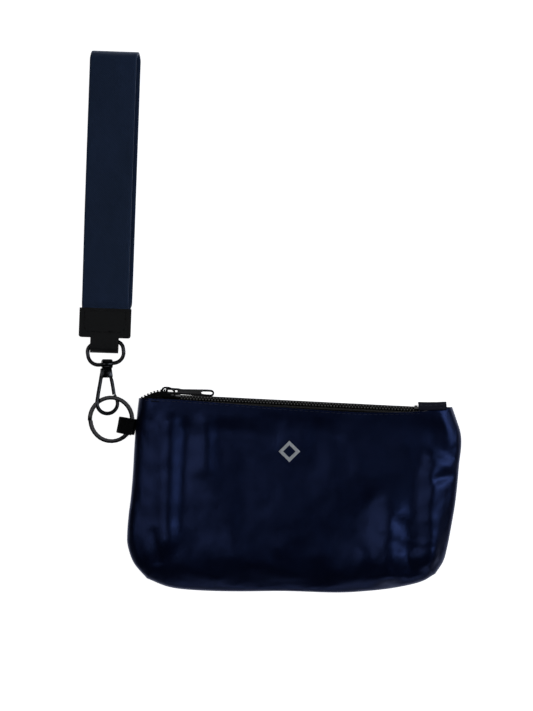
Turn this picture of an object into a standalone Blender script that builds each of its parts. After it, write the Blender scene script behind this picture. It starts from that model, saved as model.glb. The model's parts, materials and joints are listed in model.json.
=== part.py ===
"""Wristlet wallet: a zipped fabric pouch, a side loop with a split ring, a snap clasp, an oval
ring and a folded wrist strap. It lies flat on its back, +Z up, with +Y along the strap.
Metres. The pouch's middle is the point that every place is measured from; the whole object
is then moved so that the origin is the middle of its base."""

import math

import bmesh
import bpy
from mathutils import Matrix, Vector

# Clearances
SEAT_GAP = 0.0003  # between two pieces that touch
RUN_GAP = 0.0004  # between two pieces that move

# Pouch
POUCH_WIDTH = 0.175
POUCH_HEIGHT = 0.1015
POUCH_DEPTH = 0.0096  # up to the middle of the front fabric
FABRIC = 0.0005
LINING = 0.0003
TOP_LEFT_IN = 0.0062  # how far the top corners stand in from the widest places
TOP_RIGHT_IN = 0.0060
BOTTOM_LEFT_OUT = 0.0012
BOTTOM_RIGHT_IN = 0.0085
BULGE_BELOW_TOP = 0.0180  # the widest place of the right side
BOTTOM_LEFT_ROUND = 0.026
BOTTOM_RIGHT_ROUND = 0.026
BULGE_ROUND = 0.010
SEAM_LOW = 0.0030  # height of the side seam at the bottom and at the top
SEAM_TOP = 0.0050
SIDE_SLOPE_LOW = 0.026  # how far in the sides take to reach the full depth
SIDE_SLOPE_TOP = 0.007
BOTTOM_SLOPE = 0.036
BACK_SLOPE = 0.012
LINING_RINGS = 3  # rings of the sheet's grid that the lining stops short of the seams
LINING_EASE = 0.0002

# Zip
ZIP_HEIGHT = 0.0064  # chain's middle above the base
ZIP_TILT = math.radians(-2.86)
ZIP_ROLL = math.radians(25)  # how far the zip's face is turned up from the pouch's mouth
ZIP_BELOW_TOP = 0.0030  # chain's middle below the top of the pouch's box
TOOTH_PITCH = 0.0016
TOOTH_LENGTH = 0.00165
TOOTH_THICK = 0.0018
TOOTH_GAP = 0.00055  # from the chain's middle line to a tooth's tip
TAPE = 0.0005
TAPE_SHOWN = 0.0020  # tape between the teeth and the fabric's folded edge
TAPE_BEND = 0.00185  # from the teeth to where the tape turns into the pouch
TAPE_INSIDE = 0.0020
CHAIN_START = 0.0770  # left and right ends, from the middle
CHAIN_END = 0.0700
SPREAD_START = 0.0672  # where the two rows start to part
SPREAD = 0.0013

# Slider and pull
SLIDER_AT = -0.0648
SLIDER_LENGTH = 0.0104
SLIDER_FRONT = 0.0034  # half widths
SLIDER_REAR = 0.0032
SLIDER_PLATE = 0.0010
SLIDER_FLANGE = 0.0005
SLIDER_NECK = 0.0003
BRIDGE_WIRE = 0.0011
BRIDGE_RISE = 0.0046
PULL_PIVOT_ALONG = -0.0020
PULL_PIVOT_OUT = 0.0041
PULL_ROLL = math.radians(20)
PULL_LENGTH = 0.0250
PULL_THICK = 0.0009

# Side loop and split ring
LOOP_BELOW_TOP = 0.0152
LOOP_WIDTH = 0.0084
LOOP_THICK = 0.0009
LOOP_REACH = 0.0076
RING_OUTER = 0.0250
RING_RADIAL = 0.0021
RING_TURN = 0.00075
RING_TURN_GAP = 0.0003
RING_LOOP_ANGLE = math.radians(-22)  # where on the ring the loop holds it
RING_TO_SEAM = 0.0009

# Clasp
CLASP_WIRE = 0.0018
HOOK_RADIUS = 0.00545
HOOK_HANG = math.radians(104)  # where on the ring the hook holds it
HOOK_INSIDE = 0.0027  # hook's middle, inside the ring's wire
HOOK_DROP = 0.0206  # from the eye's middle to the hook's middle
NOSE = 52  # degrees round the hook where its tip meets the gate
CLASP_TURN = math.radians(0.4)
LINK_GAP = 0.00065
EYE_LENGTH = 0.0050
EYE_WALL = 0.00065
EYE_ROOM = 0.00078
RIVET_DROP = 0.0048
HOUSING_INSIDE = 0.0028
HOUSING_WALL = 0.0006
RIVET_RADIUS = 0.00065
RIVET_HEAD = 0.00125
GATE_EYE = 0.00175
GATE_THICK = 0.66 * CLASP_WIRE
SPRING_WIRE = 0.00024

# Oval ring
OVAL_WIDTH = 0.0210
OVAL_HEIGHT = 0.0133
OVAL_WIRE = 0.0021
OVAL_TOP_ROUND = 0.0040
OVAL_BOTTOM_ROUND = 0.0055
OVAL_TURN = math.radians(7)
OVAL_ROLL = math.radians(-2.5)

# Wrist strap
LEATHER = 0.0010
CAP_WIDTH = 0.0270
CAP_LENGTH = 0.0155
TAB_WIDTH = 0.0147
TAB_BELOW_BAR = 0.0054
CAP_ABOVE_BAR = 0.0026
WEBBING_WIDTH = 0.0243
WEBBING_THICK = 0.0014
WEBBING_LENGTH = 0.1350  # from the cap to the fold
FOLD_HEIGHT = 0.0086
STRAP_TURN = math.radians(-2.0)
THREAD = 0.00044

# Printed mark
MARK_SIZE = 0.0080
MARK_STROKE = 0.0017
MARK_THICK = 0.0002


# ---- scene and small helpers ----


def clear_scene():
    for thing in list(bpy.data.objects):
        bpy.data.objects.remove(thing, do_unlink=True)


def collection(name, shown=True):
    made = bpy.data.collections.new(name)
    made.hide_render = not shown
    bpy.context.scene.collection.children.link(made)
    return made


def material(name, color, roughness, metallic=0.0):
    made = bpy.data.materials.new(name)
    made.use_nodes = True
    shader = made.node_tree.nodes["Principled BSDF"]
    shader.inputs["Base Color"].default_value = (*color, 1)
    shader.inputs["Roughness"].default_value = roughness
    shader.inputs["Metallic"].default_value = metallic
    return made


def place(name, parent=None, matrix=None):
    """An empty that holds a place."""
    empty = bpy.data.objects.new(name, None)
    empty.empty_display_size = 0.004
    PARTS.objects.link(empty)
    empty.parent = parent
    empty.matrix_basis = matrix or Matrix()
    return empty


def hinge(name, parent, point, axis):
    """A pair of empties: one whose X runs along the hinge, and one under it that lines up with the parent."""
    turn = Vector((1, 0, 0)).rotation_difference(Vector(axis)).to_matrix().to_4x4()
    matrix = Matrix.Translation(Vector(point)) @ turn
    pin = place(name, parent, matrix)
    return place(name + "_frame", pin, matrix.inverted())


def part(name, data, parent, finish, smooth=30):
    made = bpy.data.objects.new(name, data)
    PARTS.objects.link(made)
    made.parent = parent
    made.data.materials.append(finish)
    if made.type == "MESH":
        made.data.shade_smooth()
        made.data.set_sharp_from_angle(angle=math.radians(smooth))
    return made


def curve_data(name, splines, closed, dimensions="3D"):
    data = bpy.data.curves.new(name, "CURVE")
    data.dimensions = dimensions
    data.resolution_u = 1
    for points in splines:
        spline = data.splines.new("POLY")
        spline.points.add(len(points) - 1)
        for point, co in zip(spline.points, points):
            point.co = (*co, 0, 1) if len(co) == 2 else (*co, 1)
        spline.use_cyclic_u = closed
    return data


def wire_data(name, points, diameter, closed=False, resolution=2):
    data = curve_data(name, [points], closed)
    data.bevel_depth = diameter / 2
    data.bevel_resolution = resolution
    data.use_fill_caps = not closed
    return data


def plate_data(name, outlines, thick):
    """A flat piece: the first outline, less the others."""
    data = curve_data(name, outlines, True, "2D")
    data.fill_mode = "BOTH"
    data.extrude = thick / 2
    return data


def mesh_of(data, matrix=None):
    """A curve made a mesh, with its caps joined on."""
    holder = bpy.data.objects.new("holder", data)
    PARTS.objects.link(holder)
    bpy.context.view_layer.update()
    graph = bpy.context.evaluated_depsgraph_get()
    mesh = bpy.data.meshes.new_from_object(holder.evaluated_get(graph))
    bpy.data.objects.remove(holder)
    shape = bmesh.new()
    shape.from_mesh(mesh)
    bmesh.ops.remove_doubles(shape, verts=shape.verts, dist=0.000002)
    bmesh.ops.transform(shape, matrix=matrix or Matrix(), verts=shape.verts)
    bmesh.ops.recalc_face_normals(shape, faces=shape.faces)
    shape.to_mesh(mesh)
    shape.free()
    return mesh


def cylinder_mesh(name, radius, length, matrix, sides=20):
    shape = bmesh.new()
    bmesh.ops.create_cone(
        shape, cap_ends=True, segments=sides, radius1=radius, radius2=radius, depth=length, matrix=matrix
    )
    mesh = bpy.data.meshes.new(name)
    shape.to_mesh(mesh)
    shape.free()
    return mesh


def box_mesh(name, size, centre):
    shape = bmesh.new()
    bmesh.ops.create_cube(
        shape, size=1, matrix=Matrix.Translation(centre) @ Matrix.Diagonal((*size, 1))
    )
    mesh = bpy.data.meshes.new(name)
    shape.to_mesh(mesh)
    shape.free()
    return mesh


def combine(target, mesh, parent, operation):
    """Cuts a mesh from the target or joins it on, with an exact Boolean."""
    cutter = bpy.data.objects.new("cutter_" + mesh.name, mesh)
    CUTTERS.objects.link(cutter)
    cutter.parent = parent
    cutter.hide_render = True
    cutter.display_type = "WIRE"
    modifier = target.modifiers.new(operation.title(), "BOOLEAN")
    modifier.operation = operation
    modifier.object = cutter
    modifier.solver = "EXACT"


def mix(a, b, share):
    return a + (b - a) * share


def ease(share):
    share = min(max(share, 0.0), 1.0)
    return share * share * (3 - 2 * share)


def rise(share):
    """A quarter round, from 0 to 1."""
    share = min(max(share, 0.0), 1.0)
    return math.sqrt(1 - (1 - share) ** 2) if share < 1 else 1.0


def arc(centre, radius, start, end, count):
    """Points along an arc, both ends included; angles in degrees."""
    angles = [math.radians(mix(start, end, i / count)) for i in range(count + 1)]
    return [(centre[0] + radius * math.cos(a), centre[1] + radius * math.sin(a)) for a in angles]


def rounded_path(corners, radii, count=8):
    """A path through corners with a round at each inner one, and the place of each round's middle."""
    points = [Vector(corners[0])]
    middles = []
    for before, here, after, radius in zip(corners, corners[1:], corners[2:], radii):
        here = Vector(here)
        back = (Vector(before) - here).normalized()
        on = (Vector(after) - here).normalized()
        half = back.angle(on) / 2
        centre = here + (back + on).normalized() * radius / math.sin(half)
        first = here + back * radius / math.tan(half) - centre
        turn = math.pi - 2 * half
        way = 1 if back.y * on.x - back.x * on.y > 0 else -1
        middles.append(len(points) + count // 2)
        for i in range(count + 1):
            spun = Matrix.Rotation(way * turn * i / count, 2) @ first
            points.append(centre + spun)
    points.append(Vector(corners[-1]))
    return points, middles


def along(points, share):
    """The point at a share of a path's length."""
    lengths = [(b - a).length for a, b in zip(points, points[1:])]
    left = share * sum(lengths)
    for a, b, length in zip(points, points[1:], lengths):
        if left <= length:
            return a.lerp(b, left / length if length else 0)
        left -= length
    return points[-1].copy()


# ---- pouch ----

HALF_WIDTH = POUCH_WIDTH / 2
HALF_HEIGHT = POUCH_HEIGHT / 2
ZIP_Y = HALF_HEIGHT - ZIP_BELOW_TOP
TEETH_HALF = TOOTH_GAP + TOOTH_LENGTH
FOLD_AT = TEETH_HALF + TAPE_SHOWN  # fabric's folded edge, from the chain's middle line
FOLD_OUT = TAPE / 2 + 3 * SEAT_GAP + FABRIC / 2


def zip_to_pouch(across, out):
    """(y, z) of a point on the zip's cross-section at the pouch's middle."""
    y = across * math.sin(ZIP_ROLL) + out * math.cos(ZIP_ROLL)
    z = ZIP_HEIGHT - across * math.cos(ZIP_ROLL) + out * math.sin(ZIP_ROLL)
    return y, z


FRONT_EDGE_Y, FRONT_EDGE_Z = zip_to_pouch(-FOLD_AT, FOLD_OUT)
BACK_EDGE_Y, BACK_EDGE_Z = zip_to_pouch(FOLD_AT + 3 * SEAT_GAP, -FABRIC)


def side_paths(edge_y):
    """The pouch's left, bottom and right edges, from the bottom rounds' middles, for one panel."""
    left_x = -HALF_WIDTH + TOP_LEFT_IN
    right_x = HALF_WIDTH - TOP_RIGHT_IN
    slope = math.tan(ZIP_TILT)
    corners = [
        (left_x, ZIP_Y + edge_y + slope * left_x),
        (-HALF_WIDTH - BOTTOM_LEFT_OUT, -HALF_HEIGHT),
        (HALF_WIDTH - BOTTOM_RIGHT_IN, -HALF_HEIGHT),
        (HALF_WIDTH, HALF_HEIGHT - BULGE_BELOW_TOP),
        (right_x, ZIP_Y + edge_y + slope * right_x),
    ]
    path, middles = rounded_path(corners, [BOTTOM_LEFT_ROUND, BOTTOM_RIGHT_ROUND, BULGE_ROUND])
    left = path[: middles[0] + 1][::-1]
    bottom = path[middles[0] : middles[1] + 1]
    right = path[middles[1] :]
    return left, bottom, right


def panel_point(edges, s, t):
    """A point inside the pouch's edges: s runs left to right and t bottom to top. Each ring of the
    sheet is the outline drawn in towards the pouch's middle."""
    left, bottom, right = edges
    a, b = 2 * s - 1, 2 * t - 1
    ring = max(abs(a), abs(b), 0.000001)
    if abs(a) >= abs(b):
        edge = along(right if a > 0 else left, (b / ring + 1) / 2)
    elif b > 0:
        edge = left[-1].lerp(right[-1], (a / ring + 1) / 2)
    else:
        edge = along(bottom, (a / ring + 1) / 2)
    return edge * ring


def seam_height(t):
    return mix(SEAM_LOW, SEAM_TOP, t)


def side_share(s, t):
    slope = mix(SIDE_SLOPE_LOW, SIDE_SLOPE_TOP, t * t)
    return rise(min(s, 1 - s) * POUCH_WIDTH / slope)


def front_height(s, t):
    edge = seam_height(t) + (FABRIC + SEAT_GAP) / 2
    up = side_share(s, t) * rise(t * POUCH_HEIGHT / BOTTOM_SLOPE)
    return mix(edge, mix(POUCH_DEPTH, FRONT_EDGE_Z, ease(t * 4 - 3)), up)


def back_height(s, t):
    flat = FABRIC / 2
    edge = seam_height(t) - (FABRIC + SEAT_GAP) / 2
    down = side_share(s, t) * rise(t * POUCH_HEIGHT / BACK_SLOPE)
    zip_share = 1 - rise((1 - t) * POUCH_HEIGHT / BACK_SLOPE)
    return mix(edge, mix(flat, BACK_EDGE_Z, zip_share), down)


def sheet(name, edges, height, thick, finish, parent, shift=0.0, rings=0):
    """A curved sheet between the pouch's edges. A lining is the same sheet moved along its normals,
    with rings of faces taken off all round."""
    columns, rows = 20, 12
    shape = bmesh.new()
    bmesh.ops.create_grid(shape, x_segments=columns, y_segments=rows, size=0.5)
    spare = []
    for vert in shape.verts:
        column = round((vert.co.x + 0.5) * columns)
        row = round((vert.co.y + 0.5) * rows)
        if min(column, row, columns - column, rows - row) < rings:
            spare.append(vert)
        s = 0.5 - 0.5 * math.cos(math.pi * column / columns)
        t = 0.5 - 0.5 * math.cos(math.pi * row / rows)
        spot = panel_point(edges, s, t)
        vert.co = (spot.x, spot.y, height(s, t))
    bmesh.ops.triangulate(shape, faces=shape.faces)
    shape.normal_update()
    for vert in shape.verts:
        vert.co += vert.normal * shift
    bmesh.ops.delete(shape, geom=spare, context="VERTS")
    mesh = bpy.data.meshes.new(name)
    shape.to_mesh(mesh)
    shape.free()
    made = part(name, mesh, parent, finish)
    shell = made.modifiers.new("Thickness", "SOLIDIFY")
    shell.thickness = thick
    shell.offset = 0
    return made


def make_pouch(parent, satin, lining):
    front = side_paths(FRONT_EDGE_Y)
    back = side_paths(BACK_EDGE_Y)
    inside = FABRIC / 2 + LINING / 2 + SEAT_GAP + LINING_EASE
    sheet("front_panel", front, front_height, FABRIC, satin, parent)
    sheet("back_panel", back, back_height, FABRIC, satin, parent)
    sheet("front_lining", front, front_height, LINING, lining, parent, -inside, LINING_RINGS)
    sheet("back_lining", back, back_height, LINING, lining, parent, inside, LINING_RINGS)


def make_mark(parent, print_finish):
    """A plain square outline standing on its corner."""
    big = MARK_SIZE / math.sqrt(2)
    small = big - MARK_STROKE * math.sqrt(2)
    outlines = [[(size, 0), (0, size), (-size, 0), (0, -size)] for size in (big, small)]
    spot = (-0.0024, HALF_HEIGHT - 0.0275, POUCH_DEPTH + FABRIC / 2 + SEAT_GAP + MARK_THICK / 2)
    made = part("printed_mark", plate_data("printed_mark", outlines, MARK_THICK), parent, print_finish)
    made.location = spot


# ---- zip ----


def row_shift(along_zip):
    """How far a row of teeth stands aside, left of the slider."""
    return SPREAD * ease((-along_zip - SPREAD_START) / 0.005)


def teeth(name, side, parent, finish):
    """One row: a rail with teeth, the other row's teeth standing in its gaps."""
    inner = TOOTH_GAP
    rail = TEETH_HALF - 0.0007
    outer = TEETH_HALF
    width = TOOTH_PITCH / 2 - SEAT_GAP
    count = int((CHAIN_START + CHAIN_END) / TOOTH_PITCH)
    start = -CHAIN_START + (TOOTH_PITCH / 2 if side > 0 else 0)
    outline = []
    for i in range(count):
        at = start + i * TOOTH_PITCH
        outline += [(at, rail), (at + 0.0001, inner), (at + width - 0.0001, inner), (at + width, rail)]
    outline.append((outline[-1][0], outer))
    outline += [(start + i * TOOTH_PITCH, outer) for i in range(10, -1, -1)]
    outline = [(x, side * (y + row_shift(x))) for x, y in outline]
    part(name, plate_data(name, [outline], TOOTH_THICK), parent, finish)


def tape(name, side, parent, finish):
    """Zip tape: flat beside the teeth, then bent down into the pouch."""
    start = TEETH_HALF + 1.5 * SEAT_GAP
    bend = TEETH_HALF + TAPE_BEND
    section = [(side * start, 0.0), (side * bend, 0.0), (side * bend, -TAPE_INSIDE)]
    shape = bmesh.new()
    steps = 60
    left = -CHAIN_START + 0.0040
    right = CHAIN_END + 0.0020
    rows = []
    for i in range(steps + 1):
        x = mix(left, right, i / steps)
        aside = row_shift(x) * side
        shares = (1, 0, 0)
        rows.append([shape.verts.new((x, y + aside * k, z)) for (y, z), k in zip(section, shares)])
    for before, after in zip(rows, rows[1:]):
        for i in range(2):
            shape.faces.new((before[i], after[i], after[i + 1], before[i + 1]))
    mesh = bpy.data.meshes.new(name)
    shape.to_mesh(mesh)
    shape.free()
    made = part(name, mesh, parent, finish)
    shell = made.modifiers.new("Thickness", "SOLIDIFY")
    shell.thickness = TAPE
    shell.offset = 0
    shell.use_even_offset = True


def make_zip(parent, plastic, woven, thread, satin):
    teeth("zip_teeth_front", -1, parent, plastic)
    teeth("zip_teeth_back", 1, parent, plastic)
    tape("zip_tape_front", -1, parent, woven)
    tape("zip_tape_back", 1, parent, woven)
    stop_size = (0.0012, 0.0014, 0.0008)
    for name, side in (("zip_top_stop_front", -1), ("zip_top_stop_back", 1)):
        at = -CHAIN_START + 0.0058
        aside = TEETH_HALF - 0.0007 + row_shift(at)
        middle = (at, side * aside, TOOTH_THICK / 2 + SEAT_GAP + stop_size[2] / 2)
        part(name, box_mesh(name, stop_size, Vector(middle)), parent, plastic)
    size = (0.0016, 2 * TEETH_HALF, 0.0008)
    height = TOOTH_THICK / 2 + SEAT_GAP + size[2] / 2
    bottom = box_mesh("zip_bottom_stop", size, Vector((CHAIN_END - 0.0060, 0, height)))
    part("zip_bottom_stop", bottom, parent, plastic)
    make_end_tab(parent, satin, height + size[2] / 2 + SEAT_GAP)
    lift = FABRIC / 2 + SEAT_GAP + THREAD / 2
    front = (FRONT_EDGE_Y - 0.0012, FRONT_EDGE_Z + lift)
    back = (BACK_EDGE_Y - 0.0012, BACK_EDGE_Z - lift - 0.0010)
    for name, (y, z) in (("front_topstitch", front), ("back_topstitch", back)):
        spot = zip_roll_matrix().inverted() @ Vector((0, y, z - ZIP_HEIGHT))
        ends = [(-CHAIN_START + 0.0040, spot.y, spot.z), (CHAIN_END - 0.0070, spot.y, spot.z)]
        part(name, wire_data(name, ends, THREAD), parent, thread)


def make_end_tab(parent, satin, clear):
    """The folded fabric over the zip's right end, an arch from one panel to the other."""
    half = FOLD_AT + 0.0006
    low = FOLD_OUT + FABRIC + 2 * SEAT_GAP
    arch = [Vector((half * math.cos(a), mix(low, clear + FABRIC, math.sin(a)))) for a in
            [math.pi * i / 10 for i in range(11)]]
    shape = bmesh.new()
    first = CHAIN_END - 0.0050
    rows = [[shape.verts.new((x, p.x, p.y)) for p in arch] for x in (first, first + 0.0125)]
    for i in range(10):
        shape.faces.new((rows[0][i], rows[1][i], rows[1][i + 1], rows[0][i + 1]))
    mesh = bpy.data.meshes.new("zip_end_tab")
    shape.to_mesh(mesh)
    shape.free()
    made = part("zip_end_tab", mesh, parent, satin)
    shell = made.modifiers.new("Thickness", "SOLIDIFY")
    shell.thickness = FABRIC
    shell.offset = 0


def zip_roll_matrix():
    return Matrix.Rotation(ZIP_ROLL - math.pi / 2, 4, "X")


def shield(front, rear, length):
    """A slider plate's outline: wide at the front, where the rows part."""
    half = length / 2
    right = [(-half, front * 0.55), (-half + 0.0014, front), (-0.0005, front * 0.97), (half - 0.0012, rear)]
    right.append((half, rear * 0.75))
    return right + [(x, -y) for x, y in right[::-1]]


def make_slider(parent, metal):
    """Two plates joined by a thin neck between the rows, with flanges that hold the tapes."""
    inner = TOOTH_THICK / 2 + RUN_GAP
    outline = shield(SLIDER_FRONT, SLIDER_REAR, SLIDER_LENGTH)
    top = mesh_of(
        plate_data("slider_body", [outline], SLIDER_PLATE),
        Matrix.Translation((0, 0, inner + SLIDER_PLATE / 2)),
    )
    body = part("slider_body", top, parent, metal)
    low = Matrix.Translation((0, 0, -inner - SLIDER_PLATE / 2))
    combine(body, mesh_of(plate_data("slider_under", [outline], SLIDER_PLATE), low), parent, "UNION")
    neck_height = 2 * inner + SLIDER_PLATE
    neck = box_mesh("slider_neck", (0.0016, SLIDER_NECK, neck_height), Vector((-0.0030, 0, 0)))
    combine(body, neck, parent, "UNION")
    flange_height = inner - TAPE / 2 - RUN_GAP + SLIDER_PLATE / 2
    for name, side in (("slider_flange_left", -1), ("slider_flange_right", 1)):
        for level in (-1, 1):
            middle = level * (TAPE / 2 + RUN_GAP + flange_height / 2)
            size = (SLIDER_LENGTH * 0.55, SLIDER_FLANGE, flange_height)
            at = Vector((0.0012, side * (SLIDER_REAR - SLIDER_FLANGE / 2 - 0.0001), middle))
            combine(body, box_mesh(f"{name}_{level}", size, at), parent, "UNION")
    return inner + SLIDER_PLATE


def make_bridge(parent, metal, plate_top):
    foot = plate_top + SEAT_GAP
    top = plate_top + BRIDGE_RISE - BRIDGE_WIRE / 2 - SEAT_GAP
    front, rear = PULL_PIVOT_ALONG - 0.0024, PULL_PIVOT_ALONG + 0.0042
    points = [(front, 0, foot), (front, 0, mix(foot, top, 0.55)), (front + 0.0004, 0, mix(foot, top, 0.85))]
    points += [(front + 0.0013, 0, top), (front + 0.0034, 0, top), (front + 0.0050, 0, mix(foot, top, 0.84))]
    points += [(rear - 0.0003, 0, mix(foot, top, 0.5)), (rear, 0, foot)]
    part("slider_bridge", wire_data("slider_bridge", points, BRIDGE_WIRE), parent, metal)


def make_pull(parent, metal):
    """The pull tab: a ring end round the bridge, and a long plate with a hole in its tip."""
    bar = 0.0006
    tip = PULL_LENGTH
    upper = [(-bar, 0.0015), (0.0, 0.0021), (0.0058, 0.0021), (0.0078, 0.0016), (tip - 0.0040, 0.0023)]
    upper += arc((tip - 0.0024, 0), 0.0023, 75, 0, 5)
    outline = upper + [(x, -y) for x, y in upper[-2::-1]]
    ring_hole = [(bar, 0.0012), (0.0056, 0.0012), (0.0056, -0.0012), (bar, -0.0012)]
    far = arc((tip - 0.0024, 0), 0.0014, 90, -90, 6)
    near = arc((tip - 0.0058, 0), 0.0012, 270, 90, 6)
    made = part("pull_tab", plate_data("pull_tab", [outline, ring_hole, far + near], PULL_THICK), parent, metal)
    made.rotation_euler = (PULL_ROLL, 0, 0)


# ---- side loop and split ring ----


def ring_middle_radius():
    return (RING_OUTER - RING_RADIAL) / 2


def link_slope():
    """How far the ring and the clasp each lean, so that one passes over the other and then under."""
    lift = (2 * RING_TURN + RING_TURN_GAP) / 2 + CLASP_WIRE / 2 + LINK_GAP
    return math.atan(lift / (HOOK_RADIUS * 0.94))


def ring_height():
    """Height of the ring's middle, with its left side on the base."""
    lean = link_slope() / 2
    half = RING_TURN + RING_TURN_GAP / 2
    return RING_OUTER / 2 * math.sin(lean) + half * math.cos(lean) + SEAT_GAP


def seam_at(y):
    """x of the pouch's left edge at a height y."""
    left = side_paths(FRONT_EDGE_Y)[0]
    top, low = left[-1], left[-2]
    return mix(low.x, top.x, (y - low.y) / (top.y - low.y))


def ring_frame(parent):
    radius = ring_middle_radius()
    loop_y = HALF_HEIGHT - LOOP_BELOW_TOP
    y = loop_y - radius * math.sin(RING_LOOP_ANGLE)
    x = seam_at(loop_y) - RING_TO_SEAM - RING_OUTER / 2
    lean = Matrix.Rotation(-link_slope() / 2, 4, "Y")
    middle = Matrix.Translation((x, y, ring_height())) @ lean
    arc_depth = radius * (1 - math.cos(LOOP_WIDTH / 2 / radius)) / 2
    out = Vector((math.cos(RING_LOOP_ANGLE), math.sin(RING_LOOP_ANGLE), 0)) * (radius - arc_depth)
    way = Vector((-math.sin(RING_LOOP_ANGLE), math.cos(RING_LOOP_ANGLE), 0))
    pivot = hinge("ring_swing", parent, middle @ out, (middle.to_3x3() @ way).normalized())
    return place("ring_place", pivot, middle), middle, out


def make_ring(parent, steel):
    """A wire wound twice round: a cut-cornered section swept along a low helix."""
    radius = ring_middle_radius()
    wide, tall, cut = RING_RADIAL / 2, RING_TURN / 2, 0.00018
    pitch = RING_TURN + RING_TURN_GAP
    section = [(wide, tall - cut), (wide - cut, tall), (cut - wide, tall), (-wide, tall - cut)]
    section += [(-wide, cut - tall), (cut - wide, -tall), (wide - cut, -tall), (wide, cut - tall)]
    steps = 64
    shape = bmesh.new()
    ring = [shape.verts.new((radius + x, 0, z - pitch)) for x, z in section]
    face = shape.faces.new(ring)
    bmesh.ops.spin(
        shape, geom=[face, *face.edges, *face.verts], axis=(0, 0, 1), cent=(0, 0, 0),
        dvec=(0, 0, 2 * pitch / steps), angle=4 * math.pi, steps=steps,
    )
    bmesh.ops.rotate(shape, verts=shape.verts, matrix=Matrix.Rotation(math.radians(183), 3, "Z"))
    bmesh.ops.recalc_face_normals(shape, faces=shape.faces)
    mesh = bpy.data.meshes.new("split_ring")
    shape.to_mesh(mesh)
    shape.free()
    part("split_ring", mesh, parent, steel)


def hairpin(inside, thick, length, count=10):
    """Outline of a strip folded back on itself, fold to the left, ends at x = 0."""
    outer = arc((-length + inside / 2 + thick, 0), inside / 2 + thick, 90, 270, count)
    inner = arc((-length + inside / 2 + thick, 0), inside / 2, 270, 90, count)
    return [(0, inside / 2 + thick), *outer, (0, -inside / 2 - thick), (0, -inside / 2), *inner, (0, inside / 2)]


def make_side_loop(parent, middle, out, webbing):
    """Webbing folded round the ring, its ends against the pouch's left seam."""
    half = RING_TURN + RING_TURN_GAP / 2
    diagonal = math.hypot(half, RING_RADIAL / 2)
    arc_depth = ring_middle_radius() - out.length
    inside = 2 * (diagonal + arc_depth + SEAT_GAP)
    outline = hairpin(inside, LOOP_THICK, LOOP_REACH + 0.0006)
    stand = Matrix.Rotation(math.pi / 2, 4, "X")
    mesh = mesh_of(plate_data("side_loop", [outline], LOOP_WIDTH), stand)
    made = part("side_loop", mesh, parent, webbing)
    swing = Matrix.Rotation(RING_LOOP_ANGLE / 2, 4, "Z")
    reach = Vector((RING_TO_SEAM + RING_RADIAL / 2 - SEAT_GAP - 0.0003, 0, 0))
    made.matrix_basis = Matrix.Translation(middle @ out + reach) @ middle.to_3x3().to_4x4() @ swing


# ---- clasp ----


def clasp_frame(parent, ring_matrix):
    """The clasp's eye is its origin; the hook hangs on the ring and the clasp leans the other way."""
    lean = link_slope() / 2
    radius = ring_middle_radius() - HOOK_INSIDE
    hook = ring_matrix @ Vector((radius * math.cos(HOOK_HANG), radius * math.sin(HOOK_HANG), 0))
    turn = Matrix.Rotation(CLASP_TURN, 4, "Z") @ Matrix.Rotation(lean, 4, "Y")
    eye = hook - turn @ Vector((0, -HOOK_DROP, 0))
    eye.z = strap_middle_height()
    tip = Matrix.Rotation(math.atan2(eye.z - hook.z, HOOK_DROP), 4, "X")
    matrix = Matrix.Translation(eye) @ tip @ turn
    start = ring_matrix @ (Vector((math.cos(math.radians(133)), math.sin(math.radians(133)), 0)) * ring_middle_radius())
    end = ring_matrix @ (Vector((math.cos(math.radians(76)), math.sin(math.radians(76)), 0)) * ring_middle_radius())
    pivot = hinge("clasp_swing", parent, (start + end) / 2, (end - start).normalized())
    return place("clasp_place", pivot, matrix), matrix


def make_clasp(parent, steel):
    wire = CLASP_WIRE
    eye_hole = OVAL_WIRE / 2 + EYE_ROOM
    eye_outer = eye_hole + EYE_WALL
    across = Matrix.Rotation(math.pi / 2, 4, "Y")
    frame = part("clasp_frame", cylinder_mesh("clasp_eye", eye_outer, EYE_LENGTH, across, 24), parent, steel)
    hook = Vector((0, -HOOK_DROP))
    leg = [(-0.0033, -0.0066, 0), (-0.0035, -0.0085, 0)]
    bow = [(x, y, 0) for x, y in arc(hook, HOOK_RADIUS, 178, 360 + NOSE, 18)]
    combine(frame, mesh_of(wire_data("clasp_hook", leg + bow, wire, resolution=3)), parent, "UNION")
    outline = [(-0.0025, -0.0012), (0.0025, -0.0012), (0.0036, -0.0070), (0.0031, -0.0078)]
    outline += [(-0.0037, -0.0078), (-0.0042, -0.0070)]
    hole = arc((0, -RIVET_DROP), RIVET_RADIUS + RUN_GAP / 2, 0, 330, 11)
    level = (HOUSING_INSIDE + HOUSING_WALL) / 2
    for name, height in (("clasp_cheek_front", level), ("clasp_cheek_back", -level)):
        cheek = mesh_of(plate_data(name, [outline, hole], HOUSING_WALL), Matrix.Translation((0, 0, height)))
        combine(frame, cheek, parent, "UNION")
    wall = box_mesh("clasp_wall", (0.0011, 0.0058, HOUSING_INSIDE + 0.0006), Vector((-0.0030, -0.0046, 0)))
    combine(frame, wall, parent, "UNION")
    combine(frame, cylinder_mesh("clasp_bore", eye_hole, EYE_LENGTH * 1.5, across, 24), parent, "DIFFERENCE")


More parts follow.
